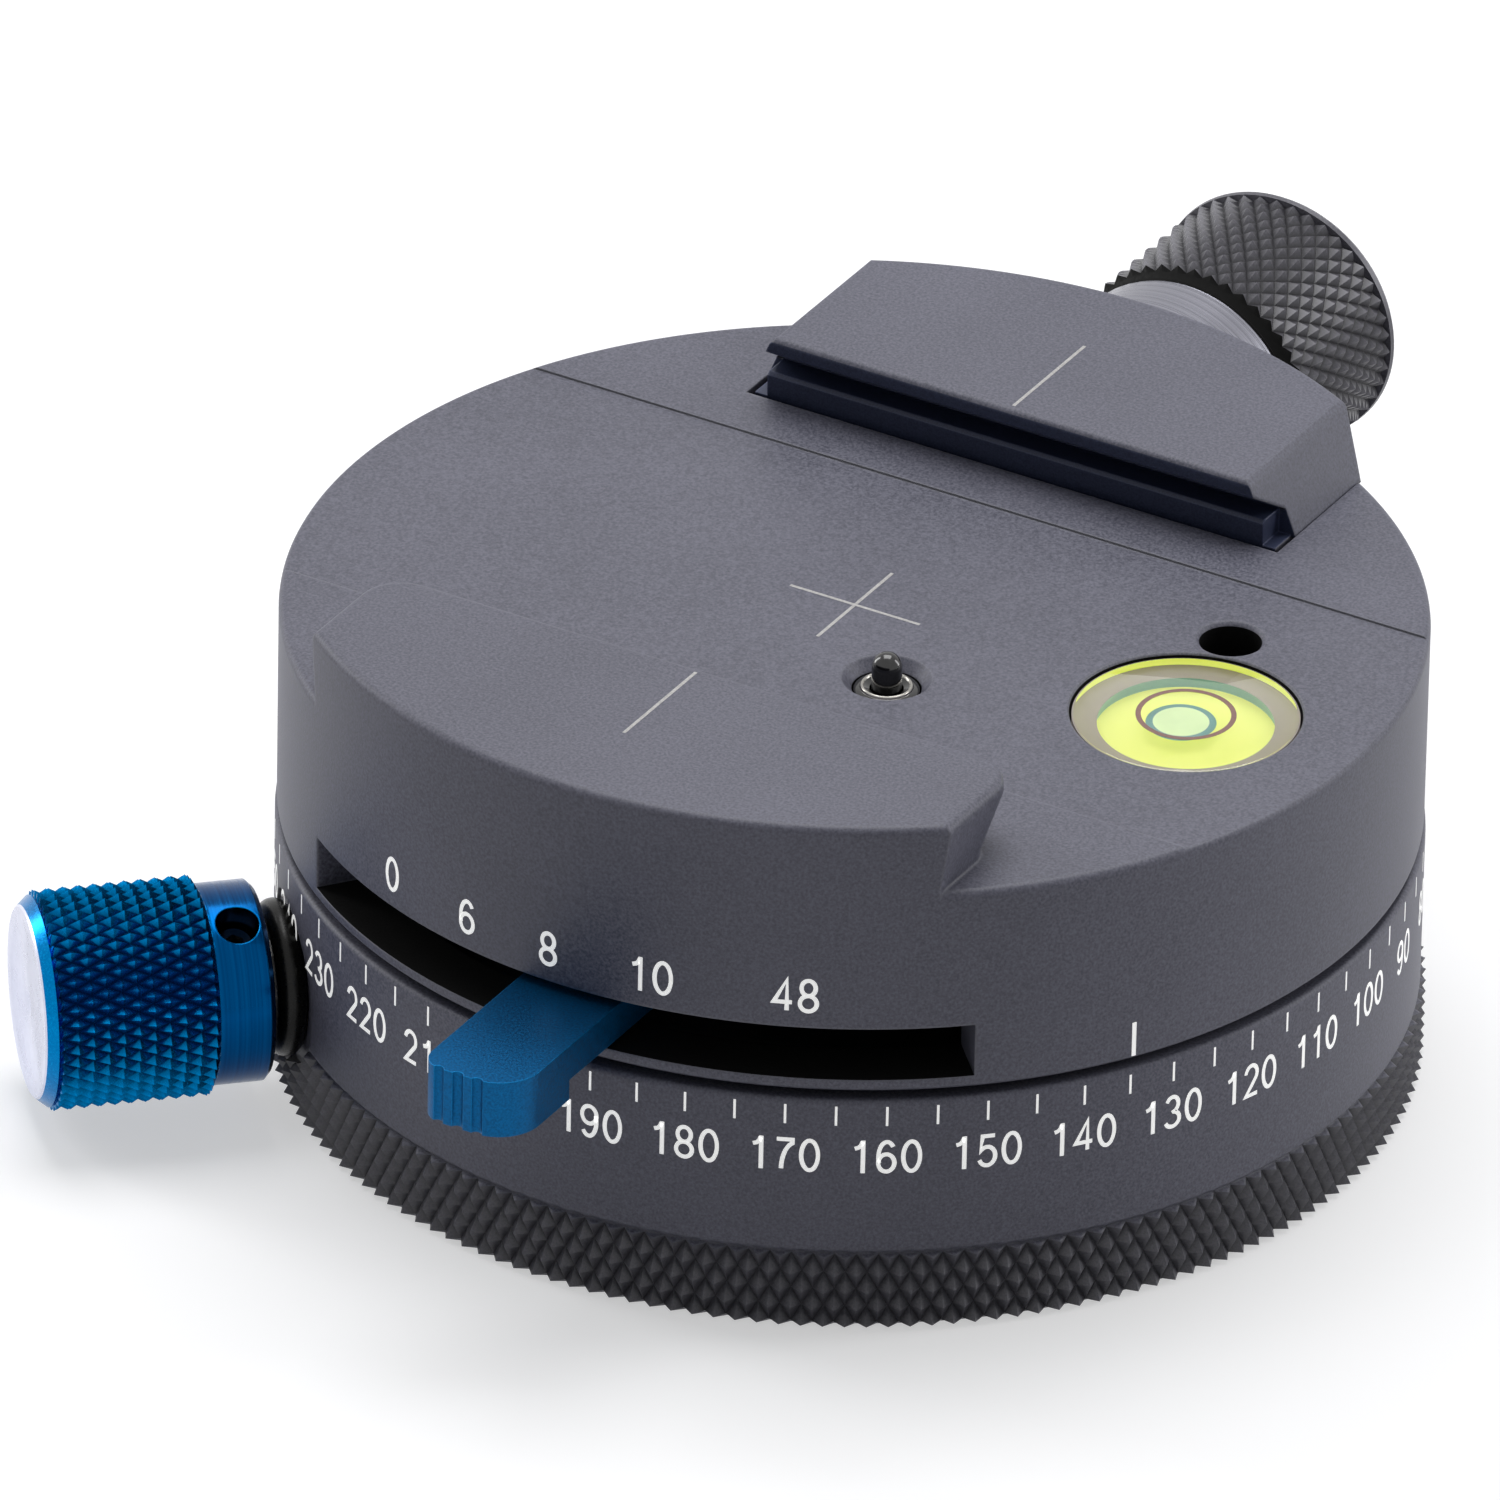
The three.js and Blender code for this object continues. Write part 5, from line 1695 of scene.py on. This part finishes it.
@dataclass
class PanLock(SubAssembly):
    """The blue pan lock knob with its set screw, over a rubber seal."""

    face: float = 32.0
    height: float = LOCK_HEIGHT
    collar_radius: float = 5.73
    collar_end: float = 5.4
    collar_profile: Outline = ((5.43, 2.2), (5.73, 2.5), (5.73, 5.22), (5.66, 5.4))
    knurl: Knurl = Knurl(start=5.7, end=14.5, root=5.8, crest=6.27, columns=92, rows=10)
    end_profile: Outline = (
        (5.85, 14.62), (6.02, 14.75), (5.52, 15.33), (5.4, 15.43), (4.5, 15.43), (4.3, 15.35), (0.9, 15.35),
        (0.15, 15.15),
    )
    end: float = 15.43
    bore: Bore = Bore(2.6, 0.0, 10.0)
    screw_reach: float = 3.85
    screw_turn: float = 155.0
    screw_radius: float = 1.15
    screw_start: float = 2.8
    screw_sunk: float = 1.9
    thread_pitch: float = 0.32
    thread_depth: float = 0.12
    socket_radius: float = 0.6
    socket_depth: float = 0.9
    seal_radius: float = 4.5
    seal_start: float = 0.06
    seal_end: float = 1.76
    seal_wall: float = 1.35

    def seat(self, piece: Thing) -> Thing:
        """Lays a piece made from the ring's face outwards on the lock's axis."""
        return lay(piece, (*polar(self.face, LOCK_ANGLE), self.height), LOCK_TURN)

    def across(self, piece: Thing) -> Thing:
        """Lays a piece across the knob, on the set screw's line."""
        return shift(piece, (0, 0, self.screw_reach), (0, math.pi / 2, math.radians(self.screw_turn)))

    def knob(self) -> Piece:
        """Turns, knurls and bores the knob.

        Returns:
            The finished knob.
        """
        profile = [*self.collar_profile, *self.knurl.rings(), *self.end_profile]
        knob = turned("lock_knob_turned", profile, self.knurl.columns)
        self.knurl.press(knob)
        hole = rod("cross_hole", self.screw_radius + 0.1, 0.5, self.collar_radius + 1, 32)
        cut(knob, self.bore.tool("knob_bore"), self.across(hole))
        self.seat(knob)
        smooth(knob, 24)
        # knob_blue paints shade into the knurl's valleys, and knob_blue_turned paints a highlight along the collar's
        # edges
        self.paints.coat(knob, "knob_blue", "knob_blue_turned", "knob_face")
        start = self.face + self.collar_end
        outward = Vector(LOCK_AXIS)
        paint_faces(knob, 1, lambda centre, normal: centre.dot(outward) < start)
        paint_faces(knob, 2, lambda centre, normal: (
            normal.dot(outward) > 0.6 and centre.dot(outward) > self.face + self.end - 0.35
        ))
        return Piece(knob, "lock_knob", "blue_anodised", ("lock_knob",))

    def set_screw(self) -> Piece:
        """A socket set screw, its thread shown as fine rings.

        Returns:
            The finished screw.
        """
        radius, start, end = self.screw_radius, self.screw_start, self.collar_radius - self.screw_sunk
        pitch, rings = self.thread_pitch, []
        for step in range(int((end - start) / pitch)):
            rings += [(radius - self.thread_depth, start + step * pitch), (radius, start + (step + 0.5) * pitch)]
        screw = turned("lock_set_screw_turned", [*rings, (radius - 0.15, end)], 32)
        cut(screw, rod("socket", self.socket_radius, end - self.socket_depth, end + 1, 6))
        self.seat(self.across(screw))
        smooth(screw, 30)
        self.paints.coat(screw, "steel_black")
        return Piece(screw, "lock_knob", "black_steel", ("lock_set_screw",))

    def seal(self) -> Piece:
        """The rubber ring between the base and the knob.

        Returns:
            The finished seal.
        """
        start, end, inside = self.seal_start, self.seal_end, self.seal_radius - self.seal_wall
        bulge = (end - start) / 2
        outside = oval((self.seal_radius - bulge, (start + end) / 2), (bulge, bulge), -90, 90)
        seal = turned("lock_seal_moulded", [(inside, start), *outside, (inside, end)], 72, hollow=True)
        self.seat(seal)
        smooth(seal, 40)
        self.paints.coat(seal, "seal_rubber")
        return Piece(seal, "base", "rubber", ("lock_seal",))

    def build(self) -> list[Piece]:
        """Builds the knob, its set screw and the seal."""
        return [self.knob(), self.set_screw(), self.seal()]


# ---------------------------------------------------------------- clamp


@dataclass
class Clamp(SubAssembly):
    """The moving jaw with its dovetail lip, and the knob that draws it in."""

    radius: float = 32.4
    floor: float = 27.9
    top: float = JAW_TOP
    lip: float = JAW_LIP
    lip_depth: float = LIP_DEPTH
    groove_back: float = 19.8
    ledge_front: float = 17.96
    ledge_height: float = 1.55
    ledge_half_length: float = 16.2
    half_top: float = 15.45
    half_floor: float = 17.32
    block_half_width: float = 17.0
    block_bottom: float = 18.9
    axis_height: float = CLAMP_HEIGHT
    rim_round: float = 0.45
    face: float = 31.9
    spot: Bore = Bore(7.9, 31.9, 34.4, 96)
    spindle_bore: Bore = Bore(3.0, 10.0, 34.4)
    guide_hole: Bore = Bore(1.6, 10.0, 28.5)
    spring_pocket: Bore = Bore(2.6, 10.0, 25.36)
    guide_offset: float = GUIDE_OFFSET
    jaw_line: Point = (17.75, 25.9)
    knurl: Knurl = Knurl(start=6.8, end=16.4, root=7.3, crest=7.72, columns=88, rows=12)
    collar_profile: Outline = (
        (6.92, 0.7), (7.27, 1.05), (7.27, 5.4), (7.15, 5.5), (7.15, 5.75), (7.25, 5.85), (7.0, 6.2), (7.3, 6.6),
    )
    end_profile: Outline = (
        (7.3, 16.5), (7.68, 16.58), (7.72, 16.9), (7.5, 17.24), (7.35, 17.3), (5.6, 17.3), (5.4, 17.12),
        (1.2, 17.12), (0.3, 16.8),
    )
    collar_end: float = 5.78
    knob_bore: Bore = Bore(3.0, 0.0, 13.1)

    def jaw(self) -> Piece:
        """Shapes the moving jaw and bores it for the spindle, pins and springs.

        Returns:
            The finished jaw.
        """
        ledge_top = self.floor + self.ledge_height
        back = self.radius + OVERRUN
        section = [
            *arc((self.lip + 0.4, self.top - 0.4), 0.4, 90, 180, 4),
            (self.lip, self.top - self.lip_depth), (self.groove_back, ledge_top + 0.05),
            (self.groove_back - 0.3, ledge_top), (self.ledge_front + 0.2, ledge_top),
            (self.ledge_front, ledge_top - 0.2), (self.ledge_front, self.floor - 0.1),
            (back, self.floor - 0.1), (back, self.top),
        ]
        upper = bar("moving_jaw_milled", section, self.half_floor)
        slopes = slab("slopes", [
            (-self.half_floor, self.floor - 0.1), (self.half_floor, self.floor - 0.1),
            (self.half_top + 0.25, self.top - 0.4), (self.half_top - 0.1, self.top),
            (0.1 - self.half_top, self.top), (-self.half_top - 0.25, self.top - 0.4),
        ], -back, back)
        combine(upper, shift(slopes, (0, 0, 0), Turn.UPRIGHT.value), "INTERSECT")
        for side in (-1, 1):
            low, high = sorted((side * self.ledge_half_length, side * back))
            cut(upper, block(f"ledge_end_{side}", (low, 0, self.floor - 1),
                             (high, self.groove_back, ledge_top + 0.02)))
        lower = block("jaw_block", (-self.block_half_width, self.ledge_front, self.block_bottom),
                      (self.block_half_width, back, self.floor))
        combine(upper, lower, "UNION")
        rim = rounded_rim(self.radius, self.top, self.rim_round)
        combine(upper, turned("jaw_outside", [(self.radius, 10), *rim], DRUM_SEGMENTS), "INTERSECT")
        holes = [("spindle_bore", self.spindle_bore, 0), ("jaw_spot", self.spot, 0)]
        for side in (-1, 1):
            across = side * self.guide_offset
            holes += [(f"guide_hole_{side}", self.guide_hole, across), (f"spring_{side}", self.spring_pocket, across)]
        for name, bore, across in holes:
            cut(upper, shift(bore.tool(name), (across, 0, self.axis_height), Turn.ALONG_Y.value))
        lay(upper)
        close_up(upper)
        smooth(upper, 28)
        keep_flats(upper)
        # paints shade on the lip's front, the groove under it and the ledge, with a bluish painted highlight on their
        # edges; body_blasted paints a highlight along the other edges
        self.paints.coat(upper, "body_blasted", "jaw_undercut_shade")
        under = self.top - self.lip_depth - FLOOR_HEIGHT
        paint_faces(upper, 1, lambda centre, normal: (
            centre.y < self.groove_back + 0.05 and centre.z < under + 0.05 or centre.y < self.lip + 0.02
        ))
        return Piece(upper, "jaw", "body_anodised", ("moving_jaw",))

    def jaw_mark(self) -> Piece:
        """The centre line on top of the moving jaw.

        Returns:
            The finished mark.
        """
        front, back = self.jaw_line
        line = self.marks.stroke_on_floor("jaw_centre_line", (0, front, self.top), (0, back, self.top))
        self.paints.coat(line, "laser_mark_soft")
        return Piece(line, "jaw", "body_anodised")

    def knob(self) -> Piece:
        """Turns, knurls and bores the clamp knob.

        Returns:
            The finished knob.
        """
        profile = [*self.collar_profile, *self.knurl.rings(), *self.end_profile]
        knob = turned("clamp_knob_turned", profile, self.knurl.columns)
        self.knurl.press(knob)
        cut(knob, self.knob_bore.tool("knob_bore"))
        lay(knob, (0, self.face, self.axis_height), Turn.ALONG_Y.value)
        smooth(knob, 24)
        # knob_black paints shade into the knurl's valleys
        self.paints.coat(knob, "knob_black", "collar_turned", "painted_shade_black")
        collar, knurl = self.face + self.collar_end, self.face + self.knurl.start
        paint_faces(knob, 1, lambda centre, normal: centre.y < collar)
        # the step between collar and knurl is painted near-black, as shade
        paint_faces(knob, 2, lambda centre, normal: collar <= centre.y < knurl)
        return Piece(knob, "clamp_knob", "knob_anodised", ("clamp_knob",))

    def build(self) -> list[Piece]:
        """Builds the moving jaw, its line and the knob."""
        return [self.jaw(), self.jaw_mark(), self.knob()]


# ---------------------------------------------------------------- bubble level and safety pin


@dataclass
class BubbleLevel(SubAssembly):
    """The round level: a clear cap over a yellow-green well, with its ring and bubble."""

    place: Point = LEVEL_PLACE
    foot: float = 22.62
    top: float = 27.65
    body_radius: float = 6.4
    sleeve: float = 0.1
    well_radius: float = 4.85
    well_floor: float = 24.8
    well_top: float = 26.3
    ring_radius: float = 2.83
    ring_width: float = 0.30
    bubble_radius: float = 1.93
    bubble_profile: Outline = (
        (0.5, -0.5), (0.8, -0.42), (0.95, -0.25), (1.0, -0.1), (0.97, -0.04), (0.86, 0.0), (0.8, 0.0),
    )
    bubble_shift: Point = (-0.35, 0.1)

    def stand(self, piece: Thing) -> Thing:
        """Moves a piece from the pan axis to the level's own."""
        return lay(piece, (*self.place, 0))

    def cap(self) -> Piece:
        """The clear cap: a disc with a plug that fills the well.

        Returns:
            The finished cap.
        """
        radius, plug = self.body_radius - self.sleeve / 2, self.well_radius + 0.03
        cap = self.stand(turned("level_cap_polished", [
            (plug, self.well_floor - 0.03), (plug, self.well_top - 0.03), (radius, self.well_top - 0.03),
            (radius, self.top - 0.1), (radius - 0.03, self.top - 0.03), (radius - 0.1, self.top),
        ], 96))
        smooth(cap, 40)
        self.paints.coat(cap, "acrylic_clear")
        return Piece(cap, "rotor", "clear_acrylic", ("level_cap",))

    def well(self) -> Piece:
        """The cup below and round the cap, with its yellow floor and its sleeve, which give off painted light; the
        sleeve's bright yellow stands for light along the cap's rim.

        Returns:
            The finished well.
        """
        outer, inner, well = self.body_radius, self.body_radius - self.sleeve, self.well_radius
        cup = self.stand(turned("level_well", [
            (outer - 0.05, self.foot), (outer, self.foot + 0.1), (outer, self.top - 0.06), (inner, self.top - 0.06),
            (inner, self.well_top), (well, self.well_top), (well, self.well_floor), (well - 0.1, self.well_floor),
        ], 96))
        smooth(cup, 40)
        self.paints.coat(cup, "level_backing", "liquid_yellow", "liquid_wall", "level_edge_glow")
        rim, low = self.well_top - FLOOR_HEIGHT, self.well_floor - FLOOR_HEIGHT
        paint_faces(cup, 1, lambda point, normal: normal.z > 0.9 and point.z < low + NEAR)
        paint_faces(cup, 2, lambda point, normal: low < point.z < rim and off_axis(point, self.place) < well + 0.02)
        # the sleeve's inside gets a bright painted glow, for light along the cap's rim
        paint_faces(cup, 3, lambda point, normal: (
            point.z > rim and abs(normal.z) < 0.5 and off_axis(point, self.place) < inner + NEAR
        ))
        return Piece(cup, "rotor", "level_liquid", ("level_liquid",))

    def ring(self) -> Piece:
        """The printed ring on the cap.

        Returns:
            The finished ring.
        """
        inner, outer = self.ring_radius - self.ring_width, self.ring_radius
        ring = self.stand(turned("level_ring_printed", [
            (inner, self.top + 0.002), (outer, self.top + 0.002), (outer, self.top + 0.02), (inner, self.top + 0.02),
        ], 72, hollow=True))
        self.paints.coat(ring, "level_ring_ink")
        return Piece(ring, "rotor", "level_mark", ("level_ring",))

    def bubble(self) -> Piece:
        """The bubble under the cap, coloured with painted light: a pale glow, and a teal rim that stands for its dark
        refracting edge.

        Returns:
            The finished bubble.
        """
        reach, under = self.bubble_radius, self.well_top - 0.1
        profile = [(reach * share, under + rise) for share, rise in self.bubble_profile]
        bubble = turned("level_bubble_blown", profile, 64)
        self.stand(shift(bubble, (*self.bubble_shift, 0)))
        smooth(bubble, 60)
        self.paints.coat(bubble, "bubble_pale", "liquid_wall")
        centre = (self.place[0] + self.bubble_shift[0], self.place[1] + self.bubble_shift[1])
        # the bubble's rim is painted teal as its refracting edge; the bubble and its rim give off painted light
        paint_faces(bubble, 1, lambda point, normal: off_axis(point, centre) > reach * 0.82)
        return Piece(bubble, "rotor", "clear_acrylic", ("level_bubble",))

    def build(self) -> list[Piece]:
        """Builds the cap, the well, the ring and the bubble."""
        return [self.cap(), self.well(), self.ring(), self.bubble()]


@dataclass
class SafetyPin(SubAssembly):
    """The sprung safety pin in its bush."""

    place: Point = PIN_PLACE
    collar_low: float = 23.5
    collar_top: float = 24.1
    collar_radius: float = 1.35
    radius: float = 0.87
    top: float = 29.4
    bush_profile: Outline = ((0.97, 24.2), (1.87, 24.2), (1.87, 27.1), (1.75, 27.2), (1.53, 27.22))
    bush_lip: Point = (1.4, 27.3)
    bush_lip_radius: float = 0.11
    bush_inside: Point = (0.97, 27.15)
    bright_from: float = 27.25

    def build(self) -> list[Piece]:
        """Builds the domed pin and its bright bush.

        Returns:
            The pin and its bush.
        """
        centre = self.top - self.radius
        dome = arc((0, centre), self.radius, 9, 81, 8)
        pin = turned("safety_pin_polished", [
            (self.collar_radius, self.collar_low), (self.collar_radius, self.collar_top),
            (self.radius, self.collar_top), (self.radius, centre - 0.5), (self.radius, centre), *dome,
        ], 40)
        lay(pin, (*self.place, 0))
        smooth(pin, 50)
        self.paints.coat(pin, "steel_black")
        lip = arc(self.bush_lip, self.bush_lip_radius, 0, 180, 8)
        bush = turned("pin_bush_turned", [*self.bush_profile, *lip, self.bush_inside], 56, hollow=True)
        lay(bush, (*self.place, 0))
        smooth(bush, 40)
        self.paints.coat(bush, "steel_black", "steel_turned")
        paint_faces(bush, 1, lambda point, normal: point.z > self.bright_from - FLOOR_HEIGHT)
        return [
            Piece(pin, "pin", "black_steel", ("safety_pin",)),
            Piece(bush, "rotor", "steel", ("pin_bush",)),
        ]


# ---------------------------------------------------------------- carried-over nodes


@dataclass
class CarriedOver:
    """CAD nodes that stay as they are and get their finish here."""

    finishes: dict[str, tuple[str, ...]] = field(default_factory=lambda: {
        "body_blasted": ("bottom_plate",),
        "brass_turned": ("thread_insert", "bearing_bush", "lock_bush", "brake_shoe", "detent_cap"),
        "steel_black": (
            "plate_screw_1", "plate_screw_2", "plate_screw_3", "plate_screw_4",
            "disc_screw_1", "disc_screw_2", "disc_screw_3",
        ),
        "acetal_white": ("glide_washer",),
        "steel_dark": ("index_disc",),
        "steel_turned": (
            "spindle", "lever_pivot_screw", "pin_spring", "detent_plunger", "detent_spring", "clamp_washer",
            "clamp_spindle", "guide_pin_1", "guide_pin_2", "jaw_spring_1", "jaw_spring_2", "lock_screw",
        ),
    })

    def dress(self, paints: Paintbox, nodes: dict[str, Thing]) -> None:
        """Coats each node.

        Args:
            paints: the materials.
            nodes: the CAD nodes by name.
        """
        for finish, names in self.finishes.items():
            for name in names:
                paints.coat_node(nodes[name], finish)
                LOG.info("%s: CAD node in %s", name, finish)


# ---------------------------------------------------------------- studio


@dataclass
class Studio:
    """Pale floor, soft light and the camera at the photograph's angle."""

    floor_size: float = 4.0
    lens: float = 615.7
    sensor: float = 36.0
    azimuth: float = -60.28
    elevation: float = 30.21
    roll: float = 0.0203
    stand: Place = (0.61504, -1.08897, 0.71852)
    world_level: float = 0.15
    floor_lift: float = 0.5
    floor_gap: float = 0.02
    floor_colour: Colour = (0.60, 0.60, 0.61)
    world_colour: Colour = (0.96, 0.98, 1.0)
    clip: Point = (0.05, 20.0)
    softboxes: tuple[tuple[str, Place, Point, float], ...] = (
        ("key_above", (-0.10, 0.22, 0.75), (0.6, 0.5), 5.0),
        ("strip_left", (-0.75, 0.0, 0.30), (0.2, 0.6), 2.4),
        ("strip_right", (0.65, 0.55, 0.30), (0.2, 0.6), 2.4),
    )

    def floor(self) -> None:
        """A pale floor that shows white and keeps the object's shadow."""
        deselect_all()
        height = -(FLOOR_HEIGHT + self.floor_gap) * MM
        bpy.ops.mesh.primitive_plane_add(size=self.floor_size, location=(0, 0, height))
        floor = named("studio_floor")
        made, tree, surface = new_material("floor_paper")
        feed(tree, surface, {
            "Base Color": (*self.floor_colour, 1),
            "Roughness": 0.9,
            "Specular IOR Level": 0.1,
            "Emission Color": (1, 1, 1, 1),
            "Emission Strength": math_node(tree, "MULTIPLY", self.seen_white(tree), self.floor_lift),
        })
        floor.data.materials.append(made)

    def seen_white(self, tree: Tree) -> Socket:
        """1 where the camera, gloss or glass looks, and 0 for the light that falls on the object.

        Args:
            tree: the node tree that asks.

        Returns:
            The socket with the 1 or 0.
        """
        rays = add_node(tree, "LightPath", {}).outputs
        seen = math_node(tree, "MAXIMUM", rays["Is Camera Ray"], rays["Is Glossy Ray"])
        return math_node(tree, "MAXIMUM", seen, rays["Is Transmission Ray"])

    def softbox(self, name: str, place: Place, size: Point, power: float) -> None:
        """An oblong area light that faces the object.

        Args:
            name: the light's name.
            place: where it hangs, in metres.
            size: its width and height, in metres.
            power: its power in watts.
        """
        data = bpy.data.lights.new(name, "AREA")
        data.shape = "RECTANGLE"
        data.size, data.size_y = size
        data.energy = power
        lamp = bpy.data.objects.new(name, data)
        bpy.context.scene.collection.objects.link(lamp)
        lamp.location = place
        lamp.rotation_euler = (-Vector(place)).to_track_quat("-Z", "Y").to_euler()

    def world(self) -> None:
        """An even pale world, white where the camera, gloss or glass sees it."""
        world = bpy.data.worlds.new("studio_world")
        bpy.context.scene.world = world
        world.use_nodes = True
        tree = world.node_tree
        plain = tree.nodes["Background"]
        feed(tree, plain, {"Color": (*self.world_colour, 1), "Strength": self.world_level})
        white = add_node(tree, "Background", {"Color": (1, 1, 1, 1), "Strength": 1.0})
        mix = add_node(tree, "MixShader", {0: self.seen_white(tree), 1: plain.outputs[0], 2: white.outputs[0]})
        feed(tree, tree.nodes["World Output"], {"Surface": mix.outputs[0]})

    def camera(self) -> None:
        """The camera, level with the photograph's view."""
        turn, lift = math.radians(self.azimuth), math.radians(self.elevation)
        back = Vector((math.cos(lift) * math.cos(turn), math.cos(lift) * math.sin(turn), math.sin(lift)))
        right = Vector((0, 0, 1)).cross(back).normalized()
        up = back.cross(right)
        tilt, level = math.sin(self.roll), math.cos(self.roll)
        across = level * right + tilt * up
        upward = level * up - tilt * right
        data = bpy.data.cameras.new("camera")
        data.lens = self.lens
        data.sensor_width = self.sensor
        data.clip_start, data.clip_end = self.clip
        camera = bpy.data.objects.new("camera", data)
        bpy.context.scene.collection.objects.link(camera)
        camera.matrix_world = Matrix((
            (across.x, upward.x, back.x, self.stand[0]),
            (across.y, upward.y, back.y, self.stand[1]),
            (across.z, upward.z, back.z, self.stand[2]),
            (0, 0, 0, 1),
        ))
        bpy.context.scene.camera = camera

    def build(self) -> None:
        """Sets up the floor, the light, the world and the camera."""
        self.floor()
        for name, place, size, power in self.softboxes:
            self.softbox(name, place, size, power)
        self.world()
        self.camera()
        bpy.context.scene.view_settings.view_transform = "Standard"


def main() -> None:
    """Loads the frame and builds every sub-assembly in order."""
    logging.basicConfig(level=logging.INFO, format="%(name)s %(message)s")
    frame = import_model()
    paints = Paintbox(Effects.build())
    for kind in (Base, Rotor, SelectorLever, PanLock, Clamp, BubbleLevel, SafetyPin):
        for piece in kind(paints).build():
            piece.join_frame()
    CarriedOver().dress(paints, frame["nodes"])
    Studio().build()
    deselect_all()


if __name__ == "__main__":
    main()
